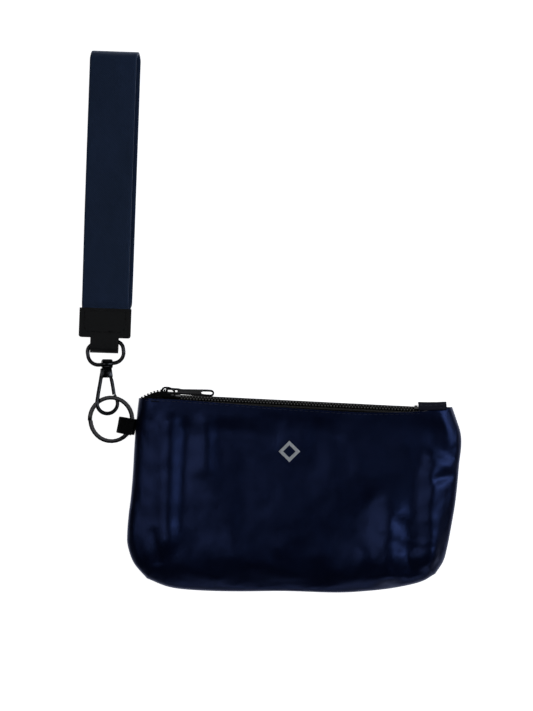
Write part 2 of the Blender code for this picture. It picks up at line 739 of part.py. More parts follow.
def make_rivet(parent, steel):
    """A turned pin with two low heads, through both cheeks."""
    shelf = HOUSING_INSIDE / 2 + HOUSING_WALL + 0.0002
    crown = shelf + 0.0004
    profile = [(0, crown + 0.0001), (RIVET_HEAD * 0.7, crown), (RIVET_HEAD, shelf + 0.0001), (RIVET_HEAD, shelf)]
    profile.append((RIVET_RADIUS, shelf))
    profile += [(x, -z) for x, z in profile[::-1]]
    shape = bmesh.new()
    verts = [shape.verts.new((x, 0, z)) for x, z in profile]
    for a, b in zip(verts, verts[1:]):
        shape.edges.new((a, b))
    mesh = bpy.data.meshes.new("gate_rivet")
    shape.to_mesh(mesh)
    shape.free()
    made = part("gate_rivet", mesh, parent, steel)
    made.location = (0, -RIVET_DROP, 0)
    turned = made.modifiers.new("Turned", "SCREW")
    turned.steps = 16
    turned.render_steps = 16
    turned.use_merge_vertices = True
    turned.merge_threshold = 0.00001


def make_gate(parent, steel, spring_steel):
    """The gate: an eye on the rivet and an arm that ends on the hook's nose; a wound spring beside it."""
    pin = Vector((0, -RIVET_DROP, 0))
    pivot = hinge("gate_hinge", parent, pin, (0, 0, 1))
    eye = cylinder_mesh("clasp_gate", GATE_EYE, GATE_THICK, Matrix.Translation(pin), 20)
    gate = part("clasp_gate", eye, pivot, steel)
    nose_angle = math.radians(NOSE) + (SEAT_GAP + 0.0002) / HOOK_RADIUS
    tip = Vector((HOOK_RADIUS * math.cos(nose_angle), -HOOK_DROP + HOOK_RADIUS * math.sin(nose_angle), 0))
    arm = [(pin.x + 0.0012, pin.y - 0.0004, 0), (0.0024, -0.0068, 0), tuple(tip.lerp(Vector((0.0024, -0.0068, 0)), 0.06))]
    arm.append(tuple(tip))
    combine(gate, mesh_of(wire_data("gate_arm", arm, CLASP_WIRE * 0.8)), pivot, "UNION")
    bore = cylinder_mesh("gate_bore", RIVET_RADIUS + RUN_GAP / 2, GATE_THICK * 2, Matrix.Translation(pin), 16)
    combine(gate, bore, pivot, "DIFFERENCE")
    radius = RIVET_RADIUS + SEAT_GAP + SPRING_WIRE / 2 + 0.0002
    low = GATE_THICK / 2 + SPRING_WIRE / 2 + 0.00012
    steps = 18
    coil = []
    for i in range(steps + 1):
        turn = math.radians(mix(-60, 300, i / steps))
        coil.append((pin.x + radius * math.cos(turn), pin.y + radius * math.sin(turn), low + 0.0003 * i / steps))
    part("gate_spring", wire_data("gate_spring", coil, SPRING_WIRE, resolution=1), pivot, spring_steel)


# ---- oval ring ----


def oval_frame(parent, clasp_matrix):
    """The oval's middle; its lower bar runs through the clasp's eye."""
    down = (OVAL_HEIGHT - OVAL_WIRE) / 2
    turn = Matrix.Rotation(OVAL_TURN, 4, "Z") @ Matrix.Rotation(OVAL_ROLL, 4, "Y")
    eye = clasp_matrix.translation
    matrix = Matrix.Translation(eye - turn @ Vector((0, -down, 0))) @ turn
    pivot = hinge("oval_swing", parent, eye, clasp_matrix.to_3x3() @ Vector((1, 0, 0)))
    return place("oval_place", pivot, matrix), matrix


def make_oval(parent, steel):
    half_x = (OVAL_WIDTH - OVAL_WIRE) / 2
    half_y = (OVAL_HEIGHT - OVAL_WIRE) / 2
    points = []
    for x, y, radius, start in (
        (half_x, half_y, OVAL_TOP_ROUND, 0),
        (-half_x, half_y, OVAL_TOP_ROUND, 90),
        (-half_x, -half_y, OVAL_BOTTOM_ROUND, 180),
        (half_x, -half_y, OVAL_BOTTOM_ROUND, 270),
    ):
        centre = (x - math.copysign(radius, x), y - math.copysign(radius, y))
        points += [(px, py, 0) for px, py in arc(centre, radius, start, start + 90, 7)]
    part("oval_ring", wire_data("oval_ring", points, OVAL_WIRE, closed=True), parent, steel)


# ---- wrist strap ----

STACK = 2 * WEBBING_THICK + 3 * (SEAT_GAP + 0.00003)  # between the leather's two sides


def strap_middle_height():
    return LEATHER + STACK / 2 + 0.00005


def strap_frame(parent, oval_matrix):
    """The strap's origin is the middle of the oval's upper bar, and its length runs along +Y."""
    up = (OVAL_HEIGHT - OVAL_WIRE) / 2
    bar = oval_matrix @ Vector((0, up, 0))
    matrix = Matrix.Translation(bar) @ Matrix.Rotation(STRAP_TURN, 4, "Z")
    pivot = hinge("strap_swing", parent, bar, oval_matrix.to_3x3() @ Vector((1, 0, 0)))
    return place("strap_place", pivot, matrix)


def make_leather_end(parent, leather):
    """One piece of leather folded round the oval's bar: a wide cap on both sides and a narrow tab."""
    length = TAB_BELOW_BAR + CAP_ABOVE_BAR + CAP_LENGTH
    outline = [(x + CAP_ABOVE_BAR + CAP_LENGTH, y) for x, y in hairpin(STACK, LEATHER, length)]
    upright = Matrix(((0, 0, 1, 0), (1, 0, 0, 0), (0, 1, 0, 0), (0, 0, 0, 1)))
    mesh = mesh_of(plate_data("leather_end", [outline], CAP_WIDTH), upright)
    made = part("leather_end", mesh, parent, leather)
    notch = (CAP_WIDTH - TAB_WIDTH) / 2
    size = (notch * 2, TAB_BELOW_BAR * 2 + CAP_ABOVE_BAR, 0.02)
    for name, side in (("notch_left", -1), ("notch_right", 1)):
        middle = Vector((side * (TAB_WIDTH / 2 + notch), CAP_ABOVE_BAR - size[1] / 2, 0))
        combine(made, box_mesh(name, size, middle), parent, "DIFFERENCE")


def make_webbing(parent, webbing):
    """One length of webbing folded double: both ends in the cap, and a loop for the wrist."""
    start = CAP_ABOVE_BAR + 0.0009
    end = CAP_ABOVE_BAR + CAP_LENGTH + WEBBING_LENGTH
    centre = strap_middle_height()
    inner = WEBBING_THICK / 2 + SEAT_GAP / 2
    low = WEBBING_THICK / 2 + 0.00005 - centre
    radius = (FOLD_HEIGHT - WEBBING_THICK) / 2
    high = low + 2 * radius
    cap_end = CAP_ABOVE_BAR + CAP_LENGTH
    count = 18
    under, over = [], []
    for i in range(count + 1):
        y = mix(start, end - radius - WEBBING_THICK / 2, i / count)
        under.append((y, mix(-inner, low, ease((y - cap_end) / 0.018))))
        over.append((y, mix(inner, high, ease((y - cap_end) / 0.055))))
    bend = arc((under[-1][0], low + radius), radius, -90, 90, 10)[1:-1]
    line = under + bend + over[::-1]
    shape = bmesh.new()
    half = WEBBING_WIDTH / 2
    left = [shape.verts.new((-half, y, z)) for y, z in line]
    right = [shape.verts.new((half, y, z)) for y, z in line]
    for i in range(len(line) - 1):
        shape.faces.new((left[i], right[i], right[i + 1], left[i + 1]))
    mesh = bpy.data.meshes.new("wrist_webbing")
    shape.to_mesh(mesh)
    shape.free()
    made = part("wrist_webbing", mesh, parent, webbing)
    shell = made.modifiers.new("Thickness", "SOLIDIFY")
    shell.thickness = WEBBING_THICK
    shell.offset = 0
    shell.use_even_offset = True


def make_cap_stitching(parent, thread):
    inset = 0.0026
    half = CAP_WIDTH / 2 - inset
    low = CAP_ABOVE_BAR + inset
    high = CAP_ABOVE_BAR + CAP_LENGTH - 0.0014
    cut = 0.0014
    height = STACK / 2 + LEATHER + SEAT_GAP + THREAD / 2
    flat = [(-half, high), (-half, low + cut), (-half + cut, low), (half - cut, low), (half, low + cut), (half, high)]
    points = [(x, y, height) for x, y in flat]
    part("cap_stitching", wire_data("cap_stitching", points, THREAD, closed=True, resolution=1), parent, thread)


def centre_on_base(origin):
    """Moves everything so that the origin is the middle of the base."""
    bpy.context.view_layer.update()
    graph = bpy.context.evaluated_depsgraph_get()
    low, high = Vector((9, 9, 9)), Vector((-9, -9, -9))
    for thing in PARTS.objects:
        if thing.type == "EMPTY":
            continue
        shown = thing.evaluated_get(graph)
        mesh = shown.to_mesh()
        for vert in mesh.vertices:
            spot = shown.matrix_world @ vert.co
            low = Vector(map(min, low, spot))
            high = Vector(map(max, high, spot))
        shown.to_mesh_clear()
    origin.location = (-(low.x + high.x) / 2, -(low.y + high.y) / 2, -low.z)
    bpy.context.view_layer.update()


def main():
    satin = material("navy_satin", (0.006, 0.008, 0.030), 0.45)
    lining = material("black_lining", (0.010, 0.010, 0.012), 0.8)
    tape_black = material("zip_tape", (0.006, 0.006, 0.007), 0.8)
    plastic = material("zip_plastic", (0.008, 0.008, 0.009), 0.4)
    metal = material("black_metal", (0.012, 0.012, 0.012), 0.3, 0.9)
    spring_steel = material("spring_steel", (0.5, 0.5, 0.5), 0.3, 1.0)
    webbing = material("navy_webbing", (0.010, 0.016, 0.032), 0.6)
    loop_black = material("loop_webbing", (0.004, 0.004, 0.005), 0.8)
    leather = material("black_leather", (0.007, 0.007, 0.008), 0.5)
    thread = material("thread", (0.010, 0.012, 0.028), 0.7)
    black_thread = material("black_thread", (0.003, 0.003, 0.003), 0.7)
    print_grey = material("print_grey", (0.25, 0.25, 0.25), 0.6)

    origin = place("object_origin")
    make_pouch(origin, satin, lining)
    make_mark(origin, print_grey)

    zip_turn = Matrix.Rotation(ZIP_TILT, 4, "Z") @ zip_roll_matrix()
    zip_line = place("zip_line", origin, Matrix.Translation((0, ZIP_Y, ZIP_HEIGHT)) @ zip_turn)
    make_zip(zip_line, plastic, tape_black, thread, satin)
    slider = place("zip_slide", zip_line, Matrix.Translation((SLIDER_AT, 0, 0)))
    plate_top = make_slider(slider, metal)
    make_bridge(slider, metal, plate_top)
    pivot = hinge("pull_hinge", slider, (PULL_PIVOT_ALONG, 0, PULL_PIVOT_OUT), (0, 1, 0))
    pull = place("pull_place", pivot, Matrix.Translation((PULL_PIVOT_ALONG, 0, PULL_PIVOT_OUT)))
    make_pull(pull, metal)

    ring, ring_matrix, out = ring_frame(origin)
    make_side_loop(origin, ring_matrix, out, loop_black)
    make_ring(ring, metal)
    clasp, clasp_matrix = clasp_frame(ring.parent, ring_matrix)
    make_clasp(clasp, metal)
    make_rivet(clasp, metal)
    make_gate(clasp, metal, spring_steel)
    oval, oval_matrix = oval_frame(clasp.parent, clasp_matrix)
    make_oval(oval, metal)
    strap = strap_frame(oval.parent, oval_matrix)
    make_leather_end(strap, leather)
    make_webbing(strap, webbing)
    make_cap_stitching(strap, black_thread)
    centre_on_base(origin)


clear_scene()
PARTS = collection("wristlet_wallet")
CUTTERS = collection("cutters", shown=False)
main()
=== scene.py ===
import json
import math

import bmesh
import bpy
import numpy as np
from mathutils import Matrix, Vector, noise


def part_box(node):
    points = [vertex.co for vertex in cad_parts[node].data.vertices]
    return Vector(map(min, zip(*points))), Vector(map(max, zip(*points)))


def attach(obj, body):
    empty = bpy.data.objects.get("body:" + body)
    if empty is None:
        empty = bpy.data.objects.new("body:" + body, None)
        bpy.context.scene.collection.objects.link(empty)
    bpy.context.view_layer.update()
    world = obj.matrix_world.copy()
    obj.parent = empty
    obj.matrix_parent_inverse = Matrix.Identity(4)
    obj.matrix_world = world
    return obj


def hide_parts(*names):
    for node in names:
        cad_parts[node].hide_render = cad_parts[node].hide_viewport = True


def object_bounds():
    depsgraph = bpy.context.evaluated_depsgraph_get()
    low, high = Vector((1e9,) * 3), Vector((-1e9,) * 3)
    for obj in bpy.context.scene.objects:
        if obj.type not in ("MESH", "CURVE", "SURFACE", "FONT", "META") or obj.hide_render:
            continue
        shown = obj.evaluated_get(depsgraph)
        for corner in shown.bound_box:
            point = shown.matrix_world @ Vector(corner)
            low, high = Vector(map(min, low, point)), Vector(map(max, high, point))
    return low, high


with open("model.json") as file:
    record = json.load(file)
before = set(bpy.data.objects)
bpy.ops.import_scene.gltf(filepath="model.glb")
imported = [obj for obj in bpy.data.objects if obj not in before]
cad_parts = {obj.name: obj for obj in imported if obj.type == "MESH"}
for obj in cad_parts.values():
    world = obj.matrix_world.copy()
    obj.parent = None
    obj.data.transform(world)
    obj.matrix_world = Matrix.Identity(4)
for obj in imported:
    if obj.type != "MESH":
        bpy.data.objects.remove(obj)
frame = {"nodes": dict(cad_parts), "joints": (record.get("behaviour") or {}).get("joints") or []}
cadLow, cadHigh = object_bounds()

mm = 0.001
nodes = frame["nodes"]
panelLow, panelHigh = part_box("front_panel")
pouchMiddle = Vector((
    (panelLow.x + panelHigh.x) / 2 - 0.2 * mm,
    panelLow.y + 50.9 * mm,
    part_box("back_panel")[0].z,
))


# Materials. A Wire holds a socket, so that shader maths reads as plain expressions.


class Wire:
    def __init__(self, tree, socket):
        self.tree = tree
        self.socket = socket

    def maths(self, operation, first, second):
        made = self.tree.nodes.new("ShaderNodeMath")
        made.operation = operation
        for socket, value in zip(made.inputs, (first, second)):
            if isinstance(value, Wire):
                self.tree.links.new(value.socket, socket)
            else:
                socket.default_value = value
        return Wire(self.tree, made.outputs[0])

    def __add__(self, other):
        return self.maths("ADD", self, other)

    __radd__ = __add__

    def __mul__(self, other):
        return self.maths("MULTIPLY", self, other)

    __rmul__ = __mul__


class Finish:
    def __init__(self, name, slotName, **uniform):
        self.slotName = slotName
        self.material = bpy.data.materials.new(name)
        self.material.use_nodes = True
        self.tree = self.material.node_tree
        self.shader = self.tree.nodes["Principled BSDF"]
        for socket, value in uniform.items():
            self.shader.inputs[socket.replace("_", " ")].default_value = value

    def node(self, kind, settings=None, inputs=None, output=0):
        made = self.tree.nodes.new("ShaderNode" + kind)
        for setting, value in (settings or {}).items():
            if setting == "stops":
                ramp = made.color_ramp
                while len(ramp.elements) < len(value):
                    ramp.elements.new(0.5)
                for element, (place, color) in zip(ramp.elements, value):
                    element.position = place
                    element.color = (*color, 1)
            else:
                setattr(made, setting, value)
        for socket, value in (inputs or {}).items():
            if isinstance(value, Wire):
                self.tree.links.new(value.socket, made.inputs[socket])
            else:
                made.inputs[socket].default_value = value
        return Wire(self.tree, made.outputs[output])

    def places(self, turn=(0, 0, 0), scale=(1, 1, 1)):
        spots = self.node("TexCoord", output=3)
        return self.node("Mapping", inputs={"Vector": spots, "Rotation": turn, "Scale": scale})

    def grain(self, scale, detail=3.0, turn=(0, 0, 0), stretch=(1, 1, 1), roughness=0.5):
        spots = self.places(turn, stretch)
        return self.node("TexNoise", inputs={
            "Vector": spots, "Scale": scale, "Detail": detail, "Roughness": roughness,
        })

    def bands(self, pitch, turn=0.0, wobble=0.0):
        # wave bands repeat every pi / 10 units at scale 1
        spots = self.places((0, 0, turn))
        return self.node("TexWave", inputs={
            "Vector": spots, "Scale": math.pi / 10 / pitch, "Distortion": wobble,
        }, output=1)

    def cells(self, size):
        return self.node("TexVoronoi", inputs={"Vector": self.places(), "Scale": 1 / size})

    def ramp(self, factor, *stops):
        return self.node("ValToRGB", {"stops": stops}, {"Fac": factor})

    def feed(self, socket, wire):
        self.tree.links.new(wire.socket, self.shader.inputs[socket])

    def relief(self, height, distance, strength=1.0):
        self.feed("Normal", self.node("Bump", inputs={
            "Height": height, "Distance": distance, "Strength": strength,
        }))


def satinFinish(name, shine, dullness):
    made = Finish(name, "navy_satin", Specular_IOR_Level=shine, Specular_Tint=(0.22, 0.34, 1.0, 1))
    cloudy = made.grain(45, 4)
    threads = made.bands(0.34 * mm) * 0.5 + made.bands(0.28 * mm, math.pi / 2, 0.4) * 0.5
    tone = cloudy * 0.75 + threads * 0.25
    made.feed("Base Color", made.ramp(
        tone,
        (0.25, (0.0008, 0.0014, 0.0062)), (0.75, (0.0020, 0.0034, 0.0135)),
    ))
    made.feed("Roughness", made.grain(160, 5, stretch=(1, 0.35, 1)) * 0.14 + dullness)
    made.relief(threads * 0.35 + made.grain(420, 4, stretch=(1, 0.3, 1)) * 1.2, 0.05 * mm, 0.7)
    return made


def liningFinish():
    made = Finish("blackLining", "black_lining", Specular_IOR_Level=0.3)
    weave = made.bands(0.6 * mm) * made.bands(0.6 * mm, math.pi / 2)
    made.feed("Base Color", made.ramp(weave, (0.0, (0.004, 0.004, 0.005)), (1.0, (0.014, 0.014, 0.016))))
    made.feed("Roughness", weave * 0.1 + 0.75)
    made.relief(weave, 0.08 * mm)
    return made


def tapeFinish():
    made = Finish("zipTape", "zip_tape", Specular_IOR_Level=0.15)
    weave = made.bands(0.55 * mm, 0.05) * 0.6 + made.bands(0.4 * mm, math.pi / 2) * 0.4
    made.feed("Base Color", made.ramp(
        weave,
        (0.0, (0.0012, 0.0012, 0.0016)), (1.0, (0.0040, 0.0041, 0.0050)),
    ))
    made.feed("Roughness", made.grain(900) * 0.2 + 0.7)
    made.relief(weave, 0.10 * mm)
    return made


def plasticFinish():
    made = Finish("zipPlastic", "zip_plastic", Specular_IOR_Level=0.15)
    made.feed("Base Color", made.ramp(
        made.grain(700),
        (0.3, (0.0012, 0.0012, 0.0015)), (0.8, (0.0042, 0.0042, 0.0048)),
    ))
    made.feed("Roughness", made.grain(1400, 4) * 0.25 + 0.32)
    made.relief(made.grain(2500), 0.03 * mm, 0.5)
    return made


def metalFinish(name="blackMetal", slotName="black_metal", dark=0.022, worn=0.10):
    made = Finish(name, slotName)
    scuffs = made.grain(900, 6, stretch=(1, 0.2, 1), roughness=0.7)
    wear = made.ramp(scuffs, (0.66, (0, 0, 0)), (0.80, (1, 1, 1)))
    colour = made.node(
        "Mix", {"data_type": "RGBA"},
        {0: wear, 6: (dark, dark, dark * 1.1, 1), 7: (worn, worn, worn * 1.02, 1)}, output=2,
    )
    made.feed("Base Color", colour)
    made.feed("Metallic", made.grain(300) * 0.1 + 0.85)
    made.feed("Roughness", made.grain(500, 5) * 0.12 + 0.14)
    made.relief(made.grain(1800, 5, stretch=(1, 0.15, 1)), 0.02 * mm, 0.5)
    return made


def webbingFinish():
    made = Finish("navyWebbing", "navy_webbing", Specular_IOR_Level=0.55, Specular_Tint=(0.42, 0.62, 1.0, 1))
    twill = made.bands(0.72 * mm, math.radians(38), 0.6)
    across = made.bands(0.42 * mm, math.pi / 2, 0.3)
    weave = twill * 0.7 + across * 0.3
    tone = weave * 0.5 + made.grain(70, 4, stretch=(1, 0.4, 1)) * 0.5
    made.feed("Base Color", made.ramp(tone, (0.2, (0.0075, 0.0130, 0.0300)), (0.8, (0.0240, 0.0400, 0.0980))))
    made.feed("Roughness", made.grain(800, 4) * 0.2 + 0.42)
    made.relief(weave + made.grain(1500) * 0.3, 0.12 * mm, 0.9)
    return made


def loopFinish():
    made = Finish("loopWebbing", "loop_webbing", Specular_IOR_Level=0.12)
    weave = made.bands(0.7 * mm, 0.3, 0.5) * 0.5 + made.bands(0.5 * mm, 1.9, 0.5) * 0.5
    made.feed("Base Color", made.ramp(
        weave,
        (0.1, (0.0008, 0.0008, 0.0010)), (0.9, (0.0035, 0.0036, 0.0042)),
    ))
    made.feed("Roughness", made.grain(800) * 0.2 + 0.7)
    made.relief(weave, 0.16 * mm)
    return made


def leatherFinish():
    made = Finish("blackLeather", "black_leather", Specular_IOR_Level=0.25)
    creases = made.cells(0.55 * mm)
    worn = made.grain(110, 5)
    made.feed("Base Color", made.ramp(worn, (0.3, (0.0042, 0.0043, 0.0048)), (0.8, (0.0090, 0.0092, 0.0100))))
    made.feed("Roughness", worn * 0.25 + 0.38)
    made.relief(creases * 0.7 + made.grain(2200, 4) * 0.5, 0.07 * mm, 0.7)
    return made


def cutFinish():
    made = Finish("leatherCut", "black_leather", Specular_IOR_Level=0.3)
    fibres = made.grain(1500, 6, stretch=(1, 0.25, 1))
    made.feed("Base Color", made.ramp(fibres, (0.3, (0.020, 0.020, 0.021)), (0.75, (0.075, 0.074, 0.072))))
    made.feed("Roughness", fibres * 0.2 + 0.7)
    made.relief(fibres, 0.12 * mm)
    return made


def threadFinish(name, slotName, low, high):
    made = Finish(name, slotName, Specular_IOR_Level=0.4)
    twist = made.bands(0.30 * mm, math.radians(35), 0.3)
    made.feed("Base Color", made.ramp(twist, (0.1, low), (0.9, high)))
    made.feed("Roughness", made.grain(1500) * 0.2 + 0.55)
    made.relief(twist, 0.06 * mm)
    return made


def printFinish():
    made = Finish("greyPrint", "print_grey", Specular_IOR_Level=0.3)
    speckle = made.grain(900, 6, roughness=0.7)
    made.feed("Base Color", made.ramp(speckle, (0.3, (0.66, 0.67, 0.68)), (0.7, (0.88, 0.88, 0.90))))
    made.feed("Roughness", speckle * 0.2 + 0.5)
    made.relief(speckle + made.bands(0.34 * mm) * 0.4, 0.04 * mm)
    return made


finishes = {
    "satin": satinFinish("navySatin", 0.6, 0.25),
    "foldedSatin": satinFinish("foldedSatin", 0.06, 0.7),
    "lining": liningFinish(),
    "tape": tapeFinish(),
    "plastic": plasticFinish(),
    "metal": metalFinish(),
    "spring": metalFinish("springSteel", "spring_steel", 0.30, 0.6),
    "webbing": webbingFinish(),
    "loop": loopFinish(),
    "leather": leatherFinish(),
    "cut": cutFinish(),
    "seamThread": threadFinish("seamThread", "thread", (0.006, 0.009, 0.028), (0.022, 0.031, 0.080)),
    "blackThread": threadFinish(
        "blackThread", "black_thread", (0.0004, 0.0004, 0.0005), (0.0012, 0.0012, 0.0014),
    ),
    "print": printFinish(),
}
print("materials made")


# Helpers


def finishPiece(name, shape, finish, body, replaced=(), smooth=40, thick=0.0):
    mesh = bpy.data.meshes.new(name)
    shape.to_mesh(mesh)
    shape.free()
    piece = bpy.data.objects.new(name, mesh)
    bpy.context.scene.collection.objects.link(piece)
    mesh.materials.append(finishes[finish].material)
    mesh.shade_smooth()
    mesh.set_sharp_from_angle(angle=math.radians(smooth))
    if thick:
        wall = piece.modifiers.new("Wall", "SOLIDIFY")
        wall.thickness = thick
        wall.offset = 0
    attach(piece, body)
    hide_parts(*replaced)
    return piece


def copyOf(node, joinFlat=False):
    shape = bmesh.new()
    shape.from_mesh(nodes[node].data)
    bmesh.ops.remove_doubles(shape, verts=shape.verts, dist=0.004 * mm)
    if joinFlat:
        flat = [e for e in shape.edges if len(e.link_faces) == 2 and e.calc_face_angle(1) < math.radians(0.5)]
        bmesh.ops.dissolve_edges(shape, edges=flat, use_verts=False)
    return shape


def roundEdges(piece, width, segments=2, angle=32):
    rounded = piece.modifiers.new("Rounded", "BEVEL")
    rounded.width = width
    rounded.segments = segments
    rounded.limit_method = "ANGLE"
    rounded.angle_limit = math.radians(angle)
    rounded.harden_normals = False


def bevelAll(shape, offset, segments):
    # every edge; the offset in millimetres
    bmesh.ops.bevel(
        shape, geom=shape.edges[:], offset=offset * mm, segments=segments,
        affect="EDGES", profile=0.5, material=-1,
    )


def spinShut(shape, verts, edges, axis, steps):
    # a full turn about the origin, with the seam closed
    bmesh.ops.spin(
        shape, geom=[*verts, *edges], cent=(0, 0, 0), axis=axis, angle=2 * math.pi,
        steps=steps, use_merge=True,
    )
    bmesh.ops.remove_doubles(shape, verts=shape.verts, dist=0.002 * mm)
    bmesh.ops.recalc_face_normals(shape, faces=shape.faces)


def smoothStep(share):
    share = np.clip(share, 0, 1)
    return share * share * (3 - 2 * share)


def quarterRound(share):
    share = np.clip(share, 0, 1)
    return np.sqrt(1 - (1 - share) ** 2)


def throughPoints(points, steps):
    # a smooth path through the points, as rows of x and y
    points = [np.array(p, float) for p in points]
    ends = [2 * points[0] - points[1], *points, 2 * points[-1] - points[-2]]
    path = []
    for before, here, after, beyond in zip(ends, ends[1:], ends[2:], ends[3:]):
        for i in range(steps):
            t = i / steps
            path.append(
                0.5 * (2 * here + (after - before) * t + (2 * before - 5 * here + 4 * after - beyond) * t * t
                + (3 * here - before - 3 * after + beyond) * t ** 3)
            )
    path.append(points[-1])
    return np.array(path)


def alongPath(path, share):
    lengths = np.concatenate([[0], np.cumsum(np.linalg.norm(np.diff(path, axis=0), axis=1))])
    return np.array([np.interp(share * lengths[-1], lengths, path[:, i]) for i in range(path.shape[1])])


def addStitch(shape, start, end, width, height, up=Vector((0, 0, 1))):
    # one stitch: a small rounded length of thread between two points
    way = end - start
    side = up.cross(way).normalized()
    top = way.normalized().cross(side)
    matrix = Matrix.Translation((start + end) / 2) @ Matrix((
        (*way.normalized(),), (*side,), (*top,))).transposed().to_4x4()
    size = Matrix.Diagonal((way.length / 2 * 1.08, width / 2, height / 2, 1))
    lying = Matrix.Rotation(math.pi / 2, 4, "Y")
    bmesh.ops.create_uvsphere(
        shape, u_segments=8, v_segments=6, radius=1, matrix=matrix @ size @ lying,
    )


def stitchRow(name, points, stitch, finish, body, replaced=()):
    # points are the row's path; stitch gives length, gap and width
    shape = bmesh.new()
    lengths = [(b - a).length for a, b in zip(points, points[1:])]
    total = sum(lengths)
    count = max(1, round(total / (stitch["length"] + stitch["gap"])))
    table = np.array([list(p) for p in points])
    for i in range(count):
        first = (i + 0.06) / count
        last = first + stitch["length"] / (stitch["length"] + stitch["gap"]) / count
        a, b = Vector(alongPath(table, first)), Vector(alongPath(table, last))
        wander = 0.06 * mm * math.sin(i * 12.9)
        aside = Vector((0, wander, 0))
        addStitch(shape, a + aside, b - aside, stitch["width"], stitch["width"] * 0.8)
    return finishPiece(name, shape, finish, body, replaced, 180)


# Pouch: millimetres from the pouch's middle, z above its base

pouch = {
    "left": [
        (-81.2, 51.0), (-82.3, 41), (-83.4, 28.4), (-84.4, 11), (-85.5, -1.6),
        (-86.6, -10), (-87.4, -20.5), (-87.0, -26.8), (-83.9, -35.4), (-77.1, -43.4),
    ],
    "bottom": [
        (-77.1, -43.4), (-65.5, -47.9), (-51, -49.6), (-30, -50.2), (-5, -50.0),
        (21, -50.8), (37, -50.1), (52, -48.4), (66, -45.3), (73.9, -41),
    ],
    "right": [
        (73.9, -41), (78.1, -34.4), (80.2, -26.8), (82.2, -16.4), (84.2, -4.6),
        (85.5, 6.8), (86.3, 16.3), (87.4, 25.7), (87.1, 32.6), (84.9, 39.8),
        (82.6, 46.4),
    ],
    "frontTop": [
        (-81.2, 51.0), (-66, 50.6), (-49.7, 49.5), (-18.1, 47.0), (12, 45.0),
        (38.1, 43.6), (66, 44.2), (82.6, 46.4),
    ],
    "backTop": [
        (-81.2, 51.0), (-60, 51.6), (-30, 50.0), (0, 48.4), (30, 47.0),
        (60, 45.8), (82.6, 46.4),
    ],
    "full": 9.5,  # height of the front over the base
    "seamLow": 3.2,
    "seamTop": 5.0,
    "cloth": 0.5,
    "lining": 0.3,
    "cells": 150,
}

# ridges and hollows of the cloth: start, end, width and height
creases = [
    ((-65, 44), (-67, -22), 6.5, 1.35), ((-57, 34), (-59, -14), 4.5, -0.7), ((-46, 40), (-47, 14), 5.5, 1.0),
    ((-38, 34), (-12, 30), 6.0, -0.5), ((-44, 2), (-30, -30), 9.0, 0.6), ((-74, -20), (-71, -34), 3.0, -0.5),
    ((50, -10), (49, -44), 8.0, 1.7), ((10, -42), (40, -6), 9.0, -0.8), ((58, -16), (58, -38), 5.5, -0.9),
    ((14, -32), (30, -44), 5.0, 0.6), ((36, -30), (34, -46), 3.4, 0.35), ((66, 8), (65, -34), 6.5, -0.6),
    ((72, 10), (71, -34), 6.5, 1.5), ((72, 20), (85, 14), 3.6, 0.9), ((75, 9), (86, 12), 2.6, -0.7),
    ((78, 42), (83, 28), 4.0, 0.7), ((-8, 40), (20, 34), 7.0, -0.35), ((20, 36), (56, 30), 6.0, 0.3),
    ((-20, -36), (6, -42), 5.0, 0.45), ((-60, -36), (-40, -44), 4.5, 0.5),
]

outline = {side: throughPoints(pouch[side], 6) for side in ("left", "bottom", "right", "frontTop", "backTop")}
rim = np.concatenate([outline["left"], outline["bottom"], outline["right"]])


def segmentDistance(xy, start, end):
    start, end = np.array(start, float), np.array(end, float)
    way = end - start
    share = np.clip(((xy - start) @ way) / max(way @ way, 1e-9), 0, 1)
    return np.linalg.norm(xy - (start + share[:, None] * way), axis=1)


def rimDistance(xy):
    return np.min([segmentDistance(xy, a, b) for a, b in zip(rim, rim[1:])], axis=0)


def roughness2d(xy, scale, seed):
    return np.array([noise.noise(Vector((x * scale, y * scale, seed))) for x, y in xy])


def topShare(xy):
    return np.clip((xy[:, 1] + 50) / 100, 0, 1)


def frontHeight(xy):
    away = rimDistance(xy)
    top = topShare(xy)
    low = np.clip((-xy[:, 1] - 10) / 40, 0, 1)
    middle = 1 - np.clip(np.abs(xy[:, 0]) / 60, 0, 1)
    slope = (1 - top ** 2) * (22 + 12 * low * middle) + top ** 2 * 7.5
    share = quarterRound(away / slope)
    seam = pouch["seamLow"] + (pouch["seamTop"] - pouch["seamLow"]) * top
    lip = 1.1 * smoothStep((xy[:, 1] - 30) / 20)  # rises to the zip
    height = seam + (pouch["full"] + lip - seam) * share
    folds = sum(h * np.exp(-((segmentDistance(xy, a, b) / w) ** 2)) for a, b, w, h in creases)
    folds = folds + 0.55 * roughness2d(xy, 0.045, 2.0) + 0.22 * roughness2d(xy, 0.13, 5.0)
    crumple = np.clip((xy[:, 0] - 10) / 50, 0, 1) * np.clip((-xy[:, 1] + 5) / 30, 0, 1)
    crushed = 0.9 * np.abs(roughness2d(xy, 0.075, 9.0)) + 0.3 * np.abs(roughness2d(xy, 0.2, 3.0))
    folds = folds + crumple * crushed
    hold = smoothStep(away / 7) * (1 - 0.9 * smoothStep((xy[:, 1] - 38) / 8))
    puckers = 0.16 * roughness2d(xy, 0.42, 7.0) * (1 - smoothStep(away / 9))
    return height + folds * hold + puckers * smoothStep(away / 1.5)


def backHeight(xy):
    away = rimDistance(xy)
    top = topShare(xy)
    seam = pouch["seamLow"] + (pouch["seamTop"] - pouch["seamLow"]) * top
    lift = 1.9 * (1 - quarterRound((50.5 - xy[:, 1]) / 12.0))
    share = quarterRound(away / 11)
    flat = seam - pouch["cloth"] + (0.32 + lift * share - seam + pouch["cloth"]) * share
    return flat + 0.1 * np.abs(roughness2d(xy, 0.1, 1.0)) * share


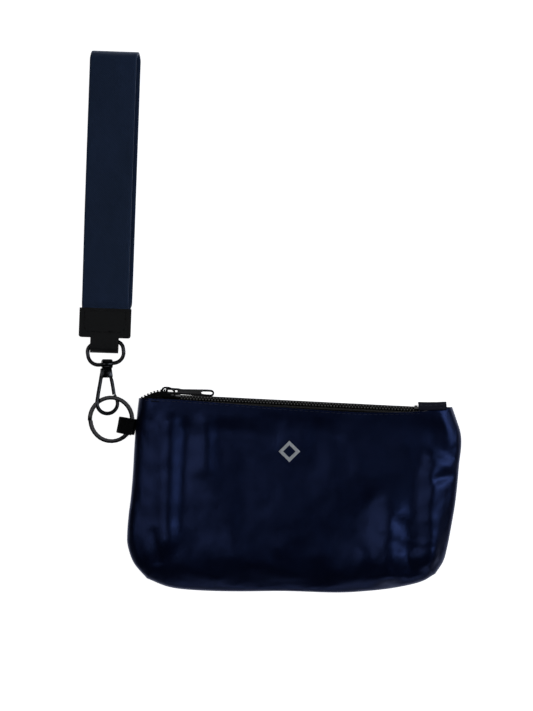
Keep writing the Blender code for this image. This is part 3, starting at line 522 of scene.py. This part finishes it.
def clothSheet(name, top, heightOf, thick, finish, replaced, shift=0.0, drawIn=1.0, cells=None):
    cells = cells or pouch["cells"]
    shape = bmesh.new()
    bmesh.ops.create_grid(shape, x_segments=cells, y_segments=round(cells * 0.64), size=1)
    spots = []
    for vert in shape.verts:
        a, b = vert.co.x, vert.co.y
        a, b = math.sin(a * math.pi / 2), math.sin(b * math.pi / 2)
        ring = max(abs(a), abs(b), 1e-6)
        if abs(a) > abs(b):
            side, share = ("right", (b / ring + 1) / 2) if a > 0 else ("left", (1 - b / ring) / 2)
            spot = alongPath(outline[side], share)
        elif b > 0:
            spot = alongPath(outline[top], (a / ring + 1) / 2)
        else:
            spot = alongPath(outline["bottom"], (a / ring + 1) / 2)
        spots.append(spot * ring * drawIn)
    spots = np.array(spots)
    heights = heightOf(spots)
    for vert, (x, y), z in zip(shape.verts, spots, heights):
        vert.co = pouchMiddle + Vector((x, y, z + shift)) * mm
    piece = finishPiece(name, shape, finish, "pouch", replaced, 180, thick * mm)
    return piece


clothSheet("satinFront", "frontTop", frontHeight, pouch["cloth"], "satin", ["front_panel"])
clothSheet("satinBack", "backTop", backHeight, pouch["cloth"], "satin", ["back_panel"], cells=100)
clothSheet("liningFront", "frontTop", frontHeight, pouch["lining"], "lining", ["front_lining"], -1.1, 0.9, 60)
clothSheet("liningBack", "backTop", backHeight, pouch["lining"], "lining", ["back_lining"], 0.9, 0.9, 60)
print("pouch made")


def onFront(x, y, lift=0.0):
    z = frontHeight(np.array([[x, y]]))[0] + pouch["cloth"] / 2 + lift
    return pouchMiddle + Vector((x, y, z)) * mm


# Stitching just under the folded top edge, and the printed mark

topstitch = {"length": 2.1 * mm, "gap": 0.7 * mm, "width": 0.34 * mm}
edgePath = [alongPath(outline["frontTop"], s) for s in np.linspace(0.02, 0.90, 60)]
frontSpots = [onFront(x, y - 1.0, 0.06) for x, y in edgePath]
stitchRow("topstitchFront", frontSpots, topstitch, "seamThread", "pouch", ["front_topstitch"])
backPath = [alongPath(outline["backTop"], s) for s in np.linspace(0.03, 0.90, 60)]
backDrop = backHeight(np.array([[x, y - 1.6] for x, y in backPath])) - pouch["cloth"] / 2 - 0.08
backSpots = [pouchMiddle + Vector((x, y - 1.6, z)) * mm for (x, y), z in zip(backPath, backDrop)]
stitchRow("topstitchBack", backSpots, topstitch, "seamThread", "pouch", ["back_topstitch"])

shape = copyOf("printed_mark")
bmesh.ops.triangulate(shape, faces=shape.faces)
bmesh.ops.subdivide_edges(shape, edges=shape.edges, cuts=5, use_grid_fill=True)
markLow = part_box("printed_mark")[0].z
for vert in shape.verts:
    x, y = (vert.co.x - pouchMiddle.x) / mm, (vert.co.y - pouchMiddle.y) / mm
    vert.co.z = onFront(x, y, 0.03).z + (vert.co.z - markLow) * 0.5
finishPiece("cornerSquareMark", shape, "print", "pouch", ["printed_mark"])
print("stitching and mark made")


# Zip: the frame's own chain line gives the places

zipJoint = next(j for j in frame["joints"] if j["name"] == "zip_slide")
zipWay = Vector(zipJoint["axis"]).normalized()
zipRoll = math.radians(25)
zipDown = Vector((0, math.sin(zipRoll), -math.cos(zipRoll)))
zipDown = (zipDown - zipDown.dot(zipWay) * zipWay).normalized()
zipOut = zipWay.cross(zipDown).normalized()
if zipOut.y < 0:
    zipOut = -zipOut
sliderLow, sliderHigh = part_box("slider_body")
sliderAt = -64.8  # millimetres along the zip from the pouch's middle
zipMiddle = (sliderLow + sliderHigh) / 2 - zipWay * sliderAt * mm

chain = {
    "pitch": 1.6,  # teeth of one row
    "width": 0.62,
    "thick": 1.5,
    "start": -76.5,
    "end": 69.0,
    "spreadStart": -67.2,
    "spread": 1.3,
}


def onZip(along, across, out):
    return zipMiddle + (zipWay * along + zipDown * across + zipOut * out) * mm


def rowAside(along):
    share = min(max((chain["spreadStart"] - along) / 5, 0), 1)
    return chain["spread"] * share * share * (3 - 2 * share)


def makeTeeth(name, side, replaced):
    shape = bmesh.new()
    count = int((chain["end"] - chain["start"]) / chain["pitch"])
    turn = Matrix((zipWay, zipDown * side, zipOut * side)).transposed().to_4x4()
    for i in range(count):
        along = chain["start"] + (i + (0.5 if side > 0 else 0)) * chain["pitch"]
        if along < sliderAt - 1:
            continue
        aside = rowAside(along)
        inner = 0.24
        outer = 2.2
        middle = onZip(along, side * ((inner + outer) / 2 + aside), 0)
        size = Matrix.Diagonal((chain["width"] * mm, (outer - inner) * mm, chain["thick"] * mm, 1))
        bmesh.ops.create_cube(shape, size=1, matrix=Matrix.Translation(middle) @ turn @ size)
        head = onZip(along, side * (inner + 0.35 + aside), 0)
        size = Matrix.Diagonal((1.02 * mm, 0.5 * mm, chain["thick"] * 0.82 * mm, 1))
        bmesh.ops.create_cube(shape, size=1, matrix=Matrix.Translation(head) @ turn @ size)
    bmesh.ops.recalc_face_normals(shape, faces=shape.faces)
    bevelAll(shape, 0.12, 1)
    return finishPiece(name, shape, "plastic", "pouch", [replaced], 50)


makeTeeth("teethFront", -1, "zip_teeth_front")
makeTeeth("teethBack", 1, "zip_teeth_back")


tapeRest = 1.75 * mm


def makeTape(name, side, inside, replaced):
    # flat beside the teeth, then turned down into the pouch
    shape = bmesh.new()
    bmesh.ops.create_grid(shape, x_segments=180, y_segments=24, size=1)
    for vert in shape.verts:
        along = -74.5 + (vert.co.x + 1) / 2 * 146
        share = (vert.co.y + 1) / 2 * (2.0 + inside)
        across = 2.3 + min(share, 1.9)
        out = -max(share - 1.9, 0)
        wave = 0.05 * noise.noise(Vector((along * 0.5, share, side)))
        vert.co = onZip(along, side * (across + rowAside(along) * 0.8 * (share < 1.9)), out + wave)
        vert.co.z = max(vert.co.z, pouchMiddle.z + tapeRest)  # lies on the back lining, inside the pouch
    if side > 0:
        bmesh.ops.reverse_faces(shape, faces=shape.faces)
    piece = finishPiece(name, shape, "tape", "pouch", [replaced], 60, 0.45 * mm)
    return piece


makeTape("tapeFront", -1, 8.6, "zip_tape_front")
makeTape("tapeBack", 1, 8.6, "zip_tape_back")


def makeCord(name, side):
    # the flat woven edge that each row of teeth is moulded on
    shape = bmesh.new()
    bmesh.ops.create_grid(shape, x_segments=150, y_segments=3, size=1)
    for vert in shape.verts:
        along = sliderAt + (vert.co.x + 1) / 2 * (71.0 - sliderAt)
        across = 0.26 + (vert.co.y + 1) / 2 * 1.9
        vert.co = onZip(along, side * across, -0.80)
    return finishPiece(name, shape, "tape", "pouch", (), 60, 0.10 * mm)


makeCord("teethCordFront", -1)
makeCord("teethCordBack", 1)


def carriedOver(node, name, finish, body, rounding, angle=32, smooth=35):
    # the frame's own shape with its edges rounded
    piece = finishPiece(name, copyOf(node), finish, body, [node], smooth)
    if rounding:
        roundEdges(piece, rounding, 2, angle)
    return piece


stops = {
    "zip_top_stop_front": "topStopFront",
    "zip_top_stop_back": "topStopBack",
    "zip_bottom_stop": "bottomStop",
}
for node, name in stops.items():
    carriedOver(node, name, "plastic", "pouch", 0.15 * mm)

carriedOver("slider_body", "sliderBody", "metal", "slider", 0.14 * mm)
carriedOver("slider_bridge", "sliderBridge", "metal", "slider", 0)
carriedOver("pull_tab", "pullTab", "metal", "pull", 0.2 * mm)
print("zip made")

# The folded fabric over the zip's right end, with two wavy rows of stitching

endTab = {
    "rise": 0.3,
    "reach": 2.4,
    "lift": 0.8,
    "stitch": {"length": 2.0 * mm, "gap": 0.8 * mm, "width": 0.36 * mm},
}
endTabLow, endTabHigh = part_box("zip_end_tab")
shape = copyOf("zip_end_tab")
bmesh.ops.triangulate(shape, faces=shape.faces)
bmesh.ops.subdivide_edges(shape, edges=shape.edges, cuts=5, use_grid_fill=True)
shape.normal_update()
moves = [(v, v.normal * -endTab["rise"] * mm * abs(noise.noise(v.co * 260))) for v in shape.verts]
for vert, move in moves:
    share = (vert.co.x - endTabLow.x) / (endTabHigh.x - endTabLow.x)
    vert.co += move + Vector((endTab["reach"] * share, endTab["lift"] * share ** 2, 0)) * mm
finishPiece("endTabCloth", shape, "foldedSatin", "pouch", ["zip_end_tab"], 60)
for row, across in (("upper", 0.4), ("lower", -2.6)):
    spots = []
    for i in range(30):
        along = 65.4 + i / 29 * 13.2
        wave = 0.35 * math.sin(i * 0.9)
        share = min(max((across + wave) / 4.8, -1), 1)
        lift = 2.35 + (1 - abs(share) ** 2) * 0.55
        rise = Vector((0, endTab["lift"] * (i / 29) ** 2 * mm, 0))
        spots.append(onZip(along, across + wave, lift) + rise)
    stitchRow("endTabStitches_" + row, spots, endTab["stitch"], "seamThread", "pouch")

# Side loop: webbing folded round the ring, with a frayed lower corner

fray = {"count": 26, "length": 1.7 * mm, "thread": 0.07 * mm}
shape = copyOf("side_loop")
bmesh.ops.triangulate(shape, faces=shape.faces)
bmesh.ops.subdivide_edges(shape, edges=shape.edges, cuts=4, use_grid_fill=True)
shape.normal_update()
moves = [(v, v.normal * -0.12 * mm * abs(noise.noise(v.co * 900))) for v in shape.verts]
for vert, move in moves:
    vert.co += move
loopLow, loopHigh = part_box("side_loop")
loopReach = 1.5 * mm  # how far the sewn end goes on into the seam
for vert in shape.verts:
    share = (vert.co.x - loopLow.x) / (loopHigh.x - loopLow.x)
    vert.co.x += loopReach * share ** 3
finishPiece("loopWebbing", shape, "loop", "pouch", ["side_loop"], 50)
shape = bmesh.new()
for i in range(fray["count"]):
    angle = noise.noise(Vector((i * 3.7, 0, 1))) * 1.3 - 1.9
    aside = 3.4 + 1.2 * noise.noise(Vector((i * 1.9, 4, 2)))
    start = Vector((
        loopLow.x + aside * mm, loopLow.y + (-0.9 + 0.04 * i) * mm, loopHigh.z - (2.4 + 0.08 * i) * mm,
    ))
    way = Vector((math.cos(angle), math.sin(angle), 0.3 * math.sin(i * 2.1)))
    end = start + way * fray["length"] * (0.5 + 0.5 * abs(math.sin(i * 1.3)))
    addStitch(shape, start, end, fray["thread"] * 2, fray["thread"] * 2)
finishPiece("loopFray", shape, "blackThread", "pouch", (), 180)
print("end tab and side loop made")

# The open end of the zip: tape turned up at the corner, with the parted teeth standing along it

openEnd = {
    "path": [(-80.6, 51.0), (-78.0, 52.4), (-74.5, 54.0), (-71.0, 55.0), (-67.5, 55.3)],
    "height": [7.0, 7.6, 8.2, 8.6, 8.8],
    "teeth": 8,
    "tooth": (0.72, 3.0, 1.3),
    "lean": math.radians(118),
}
turnedUp = throughPoints([(*p, z) for p, z in zip(openEnd["path"], openEnd["height"])], 8)
shape = bmesh.new()
bmesh.ops.create_grid(shape, x_segments=40, y_segments=8, size=1)
for vert in shape.verts:
    share, up = (vert.co.x + 1) / 2, (vert.co.y + 1) / 2
    top = alongPath(turnedUp, share)
    foot = alongPath(outline["frontTop"], 0.002 + share * 0.125)
    footZ = frontHeight(np.array([foot]))[0] - 1.0
    spot = np.array([*foot, footZ]) * (1 - up) + (top - np.array([0.0, 0.5, 0.0])) * up
    spot[2] += 0.5 * math.sin(math.pi * up)
    vert.co = pouchMiddle + Vector(spot) * mm
finishPiece("tapeCorner", shape, "tape", "pouch", (), 60, 0.4 * mm)
shape = bmesh.new()
for i in range(openEnd["teeth"]):
    spot = alongPath(turnedUp, (i + 0.7) / openEnd["teeth"])
    lean = openEnd["lean"] - math.radians(3.0) * i
    foot = pouchMiddle + Vector(spot - np.array([-0.3, 1.0, 0])) * mm
    place = Matrix.Translation(foot) @ Matrix.Rotation(lean - math.pi / 2, 4, "Z")
    wide, tall, deep = openEnd["tooth"]
    size = Matrix.Diagonal((wide * mm, tall * mm, deep * mm, 1))
    bmesh.ops.create_cube(shape, size=1, matrix=place @ size)
    tip = place @ Matrix.Translation((0, tall * 0.36 * mm, 0))
    size = Matrix.Diagonal((1.0 * mm, 0.5 * mm, deep * 0.8 * mm, 1))
    bmesh.ops.create_cube(shape, size=1, matrix=tip @ size)
bmesh.ops.recalc_face_normals(shape, faces=shape.faces)
bevelAll(shape, 0.12, 1)
finishPiece("teethOpenEnd", shape, "plastic", "pouch", (), 50)

# Metal: the clasp's own frame is its eye, with X along the oval's bar and Z up out of its face

ovalJoint = next(j for j in frame["joints"] if j["name"] == "oval_swing")
gateJoint = next(j for j in frame["joints"] if j["name"] == "gate_hinge")
claspX, claspZ = Vector(ovalJoint["axis"]).normalized(), Vector(gateJoint["axis"]).normalized()
claspPlace = Matrix((claspX, claspZ.cross(claspX), claspZ)).transposed().to_4x4()
claspPlace.translation = Vector(ovalJoint["pos_m"])

clasp = {
    "wire": 1.9,
    "hookMiddle": (0.0, -20.6),
    "hookRadius": 5.45,
    "nose": (3.7, -16.25),
    "pin": (0.0, -4.8),
    "eye": (1.83, 2.6, 5.5),  # bore, outer radius and length
    "cheek": 2.05,  # height of the face over the middle
}


def wireShape(points, radii, thick):
    # a round wire through the points, with its own radius at each
    curve = bpy.data.curves.new("wirePath", "CURVE")
    curve.dimensions = "3D"
    curve.bevel_depth = thick / 2
    curve.bevel_resolution = 5
    curve.use_fill_caps = True
    spline = curve.splines.new("POLY")
    spline.points.add(len(points) - 1)
    for point, place, radius in zip(spline.points, points, radii):
        point.co = (*place, 1)
        point.radius = radius
    holder = bpy.data.objects.new("wirePath", curve)
    bpy.context.scene.collection.objects.link(holder)
    bpy.context.view_layer.update()
    mesh = bpy.data.meshes.new_from_object(holder.evaluated_get(bpy.context.evaluated_depsgraph_get()))
    made = bmesh.new()
    made.from_mesh(mesh)
    bpy.data.objects.remove(holder)
    bpy.data.meshes.remove(mesh)
    bmesh.ops.remove_doubles(made, verts=made.verts, dist=0.001 * mm)
    bmesh.ops.recalc_face_normals(made, faces=made.faces)
    return made


def roundPoints(middle, radius, first, last, count):
    angles = [math.radians(first + (last - first) * i / count) for i in range(count + 1)]
    return [(middle[0] + radius * math.cos(a), middle[1] + radius * math.sin(a)) for a in angles]


def makeClasp():
    # leg, bow and nose in one wire
    leg = [(-2.4, -2.6), (-3.1, -6.3), (-3.6, -9.2), (-4.7, -15.2)]
    bow = [*roundPoints(clasp["hookMiddle"], clasp["hookRadius"], 172, 398, 32), clasp["nose"]]
    path = [Vector((x, y, 0)) * mm for x, y in [*throughPoints([*leg, bow[0]], 6)[:-1], *bow]]
    radii = [1.0 + 0.12 * math.sin(math.pi * i / (len(path) - 1)) for i in range(len(path))]
    shape = wireShape(path, radii, clasp["wire"] * mm)
    bmesh.ops.transform(shape, matrix=claspPlace, verts=shape.verts)
    finishPiece("claspHook", shape, "metal", "clasp", ["clasp_frame"], 60)

    # the barrel round the oval's bar: a rounded sleeve spun about its bore
    bore, outer, long = (v * mm for v in clasp["eye"])
    shape = bmesh.new()
    profile = [
        (-long / 2, bore), (-long / 2, outer * 0.86), (-long / 2 + 0.5 * mm, outer),
        (long / 2 - 0.5 * mm, outer), (long / 2, outer * 0.86), (long / 2, bore),
    ]
    verts = [shape.verts.new((x, r, 0)) for x, r in profile]
    edges = [shape.edges.new((a, b)) for a, b in zip(verts, verts[1:] + verts[:1])]
    spinShut(shape, verts, edges, (1, 0, 0), 40)
    bmesh.ops.transform(shape, matrix=claspPlace, verts=shape.verts)
    finishPiece("claspBarrel", shape, "metal", "clasp", (), 50)

    # two tapered cheeks with a rounded rim, joined by the wall on the leg's side
    for name, side in (("claspFace", 1), ("claspBack", -1)):
        shape = bmesh.new()
        outlinePoints = [
            (-1.8, -1.9), (1.8, -1.9), (2.2, -2.4), (2.8, -6.6),
            (2.4, -7.2), (-2.5, -7.2), (-2.9, -6.6), (-2.2, -2.4),
        ]
        level = side * clasp["cheek"] - (0.7 if side > 0 else 0)
        face = shape.faces.new([shape.verts.new((x * mm, y * mm, level * mm)) for x, y in outlinePoints])
        grown = bmesh.ops.extrude_face_region(shape, geom=[face])
        moved = [v for v in grown["geom"] if isinstance(v, bmesh.types.BMVert)]
        bmesh.ops.translate(shape, vec=(0, 0, 0.7 * mm), verts=moved)
        bmesh.ops.recalc_face_normals(shape, faces=shape.faces)
        bevelAll(shape, 0.22, 2)
        bmesh.ops.transform(shape, matrix=claspPlace, verts=shape.verts)
        finishPiece(name, shape, "metal", "clasp", (), 40)
    shape = bmesh.new()
    wallSize = Matrix.Diagonal((1.2 * mm, 5.4 * mm, 3.2 * mm, 1))
    wall = Matrix.Translation(Vector((-2.9, -5.0, 0)) * mm) @ wallSize
    bmesh.ops.create_cube(shape, size=1, matrix=claspPlace @ wall)
    bevelAll(shape, 0.3, 2)
    finishPiece("claspWall", shape, "metal", "clasp", (), 40)

    # the rivet: a domed head at each end of a round shank
    shape = bmesh.new()
    pinX, pinY = clasp["pin"]
    head = [
        (0, 2.62), (0.55, 2.56), (0.95, 2.36), (1.12, 2.08), (0.62, 2.05),
        (0.62, -2.05), (1.12, -2.08), (0.95, -2.36), (0.55, -2.56), (0, -2.62),
    ]
    verts = [shape.verts.new((r * mm, 0, z * mm)) for r, z in head]
    edges = [shape.edges.new((a, b)) for a, b in zip(verts, verts[1:])]
    spinShut(shape, verts, edges, (0, 0, 1), 28)
    pinPlace = Matrix.Translation((pinX * mm, pinY * mm, 0))
    bmesh.ops.transform(shape, matrix=claspPlace @ pinPlace, verts=shape.verts)
    finishPiece("gateRivet", shape, "metal", "clasp", ["gate_rivet"], 50)


def makeGate():
    # an arm that widens from the pin and ends on the hook's nose
    path = throughPoints([(0.3, -4.8), (1.8, -6.8), (2.55, -9.4), (3.1, -12.6), (3.64, -16.1)], 7)
    radii = [0.62 + 0.44 * min(1, i / 12) for i in range(len(path))]
    shape = wireShape([Vector((x, y, 0)) * mm for x, y in path], radii, clasp["wire"] * mm)
    bmesh.ops.transform(shape, matrix=claspPlace, verts=shape.verts)
    finishPiece("claspGate", shape, "metal", "gate", ["clasp_gate"], 60)


makeClasp()
makeGate()
carriedOver("gate_spring", "gateSpring", "spring", "gate", 0)
carriedOver("split_ring", "splitRing", "metal", "ring", 0.12 * mm, 28)
carriedOver("oval_ring", "ovalRing", "metal", "oval", 0, smooth=60)
print("metal made")

# Strap: the leather end, its stitching and the folded webbing

strapJoint = next(j for j in frame["joints"] if j["name"] == "strap_swing")
strapOrigin = Vector(strapJoint["pos_m"])
strapTurn = math.radians(-2.0)
strapWay = Vector((-math.sin(strapTurn), math.cos(strapTurn), 0))
strapSide = Vector((math.cos(strapTurn), math.sin(strapTurn), 0))


def onStrap(across, along, up):
    # millimetres from the oval's upper bar
    return strapOrigin + (strapSide * across + strapWay * along + Vector((0, 0, up))) * mm


webbing = {
    "width": 24.4,
    "thick": 1.35,
    "start": 3.6,
    "fold": 153.0,
    "high": 8.6,  # height of the fold over the base
    "backShift": 1.6,  # how far the back layer stands out to the right
}
leather = {"capStart": 2.6, "capLength": 15.5, "width": 27.0, "thick": 1.0, "corner": 1.3 * mm}
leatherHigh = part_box("leather_end")[1]
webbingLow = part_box("wrist_webbing")[0]


def makeLeather():
    shape = copyOf("leather_end", True)
    upright = []
    for edge in shape.edges:
        way = edge.verts[1].co - edge.verts[0].co
        middle = (edge.verts[0].co + edge.verts[1].co) / 2 - strapOrigin
        outside = abs(middle.dot(strapSide)) > 12 * mm and middle.dot(strapWay) < 4 * mm
        if abs(way.z) > 0.9 * way.length and outside:
            upright.append(edge)
    if upright:
        bmesh.ops.bevel(
            shape, geom=upright, offset=leather["corner"], segments=5,
            affect="EDGES", profile=0.5, material=-1,
        )
    bmesh.ops.triangulate(shape, faces=[f for f in shape.faces if len(f.verts) > 4])
    piece = finishPiece("leatherEnd", shape, "leather", "strap", ["leather_end"], 35)
    piece.data.materials.append(finishes["cut"].material)
    for face in piece.data.polygons:
        if abs(face.normal.dot(strapSide)) > 0.8:
            face.material_index = 1
    roundEdges(piece, 0.18 * mm, 2, 40)
    return piece


makeLeather()

capStitch = {"length": 1.9 * mm, "gap": 0.9 * mm, "width": 0.5 * mm}
sewn = {"half": 10.7, "start": 5.6, "end": 16.9, "corner": 1.5}  # the stitched rectangle
capTop = (leatherHigh.z - strapOrigin.z) / mm
half, start, corner = sewn["half"], sewn["start"], sewn["corner"]
corners = [
    (-half, sewn["end"]), (-half, start + corner), (-half + corner, start),
    (half - corner, start), (half, start + corner), (half, sewn["end"]), (-half, sewn["end"]),
]
capPath = []
for (ax, ay), (bx, by) in zip(corners, corners[1:]):
    steps = max(2, round(math.hypot(bx - ax, by - ay) / 1.4))
    for i in range(steps):
        share = i / steps
        capPath.append(onStrap(ax + (bx - ax) * share, ay + (by - ay) * share, capTop + 0.02))
stitchRow("capStitches", capPath, capStitch, "blackThread", "strap", ["cap_stitching"])
shape = bmesh.new()
for i in range(7):
    start = onStrap(
        3.2 + 0.25 * math.sin(i * 2.2), sewn["start"] + 0.3 + 0.18 * math.cos(i * 3.1), capTop + 0.1,
    )
    end = start + Vector((math.cos(i * 0.9), math.sin(i * 0.9), 0.2)) * 0.9 * mm
    addStitch(shape, start, end, 0.32 * mm, 0.32 * mm)
finishPiece("capThreadEnd", shape, "blackThread", "strap", (), 180)


def makeWebbing():
    # one strip: under layer from the cap to the fold, round it, and the upper layer back
    baseZ = (webbingLow.z - strapOrigin.z) / mm
    under = baseZ + webbing["thick"] / 2 + 0.05
    radius = (webbing["high"] - 0.35 - webbing["thick"]) / 2
    straight = webbing["fold"] - radius - webbing["thick"] / 2
    capEnd = leather["capStart"] + leather["capLength"]
    length = 2 * (straight - webbing["start"]) + math.pi * radius
    shape = bmesh.new()
    bmesh.ops.create_grid(shape, x_segments=20, y_segments=260, size=1)
    bent = math.pi * radius
    for vert in shape.verts:
        across = vert.co.x * webbing["width"] / 2
        run = (vert.co.y + 1) / 2 * length
        first = straight - webbing["start"]
        if run < first:
            along = webbing["start"] + run
            rise = float(smoothStep((along - capEnd) / 18))
            up = -0.87 + (under + 0.87) * rise
            layer = 1
        elif run < first + bent:
            turn = (run - first) / radius
            along = straight + radius * math.sin(turn)
            up = under + radius * (1 - math.cos(turn))
            layer = 1 - turn / math.pi
        else:
            along = straight - (run - first - bent)
            rise = float(smoothStep((along - capEnd) / 55))
            up = 0.87 + (under + 2 * radius - 0.87) * rise
            layer = 0
        free = float(smoothStep((along - capEnd) / 30))
        showing = float(smoothStep((along - capEnd + 3) / 6))
        across += layer * webbing["backShift"] * showing - 0.3 * showing * (1 - layer)
        sway = 0.22 * math.sin(along * 0.075 + 0.5) * (1 - layer)
        ripple = 0.12 * noise.noise(Vector((across * 0.12, along * 0.06, layer)))
        up += free * (sway + ripple)
        edge = abs(vert.co.x)
        up -= 0.12 * (edge > 0.93) * (1 - layer)
        vert.co = onStrap(across, along, up)
    shape.normal_update()
    piece = finishPiece(
        "strapWebbing", shape, "webbing", "strap", ["wrist_webbing"], 60, webbing["thick"] * mm,
    )
    roundEdges(piece, 0.25 * mm, 2, 50)
    length * mm
    return piece


makeWebbing()
print("strap made")

# Floor, lights and camera

floorTone = 0.92
shape = bmesh.new()
bmesh.ops.create_grid(shape, x_segments=1, y_segments=1, size=3)
mesh = bpy.data.meshes.new("floor")
shape.to_mesh(mesh)
shape.free()
floor = bpy.data.objects.new("floor", mesh)
bpy.context.scene.collection.objects.link(floor)
floor.location.z = cadLow.z - 0.3 * mm
paper = bpy.data.materials.new("paleFloor")
paper.use_nodes = True
paperShader = paper.node_tree.nodes["Principled BSDF"]
paperShader.inputs["Base Color"].default_value = (floorTone, floorTone, floorTone, 1)
paperShader.inputs["Roughness"].default_value = 0.9
paperShader.inputs["Specular IOR Level"].default_value = 0.1
paperShader.inputs["Emission Color"].default_value = (1, 1, 1, 1)
paperShader.inputs["Emission Strength"].default_value = 0.95
mesh.materials.append(paper)


def softLight(name, place, aim, width, height, power, color=(1, 1, 1)):
    lamp = bpy.data.lights.new(name, "AREA")
    lamp.shape = "RECTANGLE"
    lamp.size, lamp.size_y = width, height
    lamp.energy = power
    lamp.color = color
    holder = bpy.data.objects.new(name, lamp)
    bpy.context.scene.collection.objects.link(holder)
    holder.location = place
    holder.rotation_euler = (Vector(aim) - Vector(place)).to_track_quat("-Z", "Y").to_euler()


softLight("leftBox", (-0.52, 0.0, 1.34), (0, -0.05, 0), 0.26, 0.8, 1.7)
softLight("rightBox", (0.92, 0.05, 1.08), (0, -0.05, 0), 0.34, 0.9, 4.6, (0.80, 0.90, 1.0))
softLight("topBox", (0.1, 1.65, 0.42), (0, 0, 0), 1.2, 0.30, 0.9)
softLight("lowBox", (0.2, -1.4, 0.70), (0, -0.1, 0), 1.1, 0.25, 1.3)

world = bpy.data.worlds.new("roomLight")
bpy.context.scene.world = world
world.use_nodes = True
world.node_tree.nodes["Background"].inputs[0].default_value = (0.9, 0.95, 1.0, 1)
world.node_tree.nodes["Background"].inputs[1].default_value = 0.008

camera = bpy.data.cameras.new("overhead")
cameraHolder = bpy.data.objects.new("overhead", camera)
bpy.context.scene.collection.objects.link(cameraHolder)
bpy.context.scene.camera = cameraHolder
framing = {"tall": 0.374, "away": 1.5, "right": -14.5 * mm, "up": 73.4 * mm}
camera.sensor_fit = "AUTO"
camera.lens = camera.sensor_width * framing["away"] / framing["tall"]
cameraHolder.location = pouchMiddle + Vector((framing["right"], framing["up"], framing["away"]))
bpy.context.scene.view_settings.view_transform = "Standard"
print("stage made")
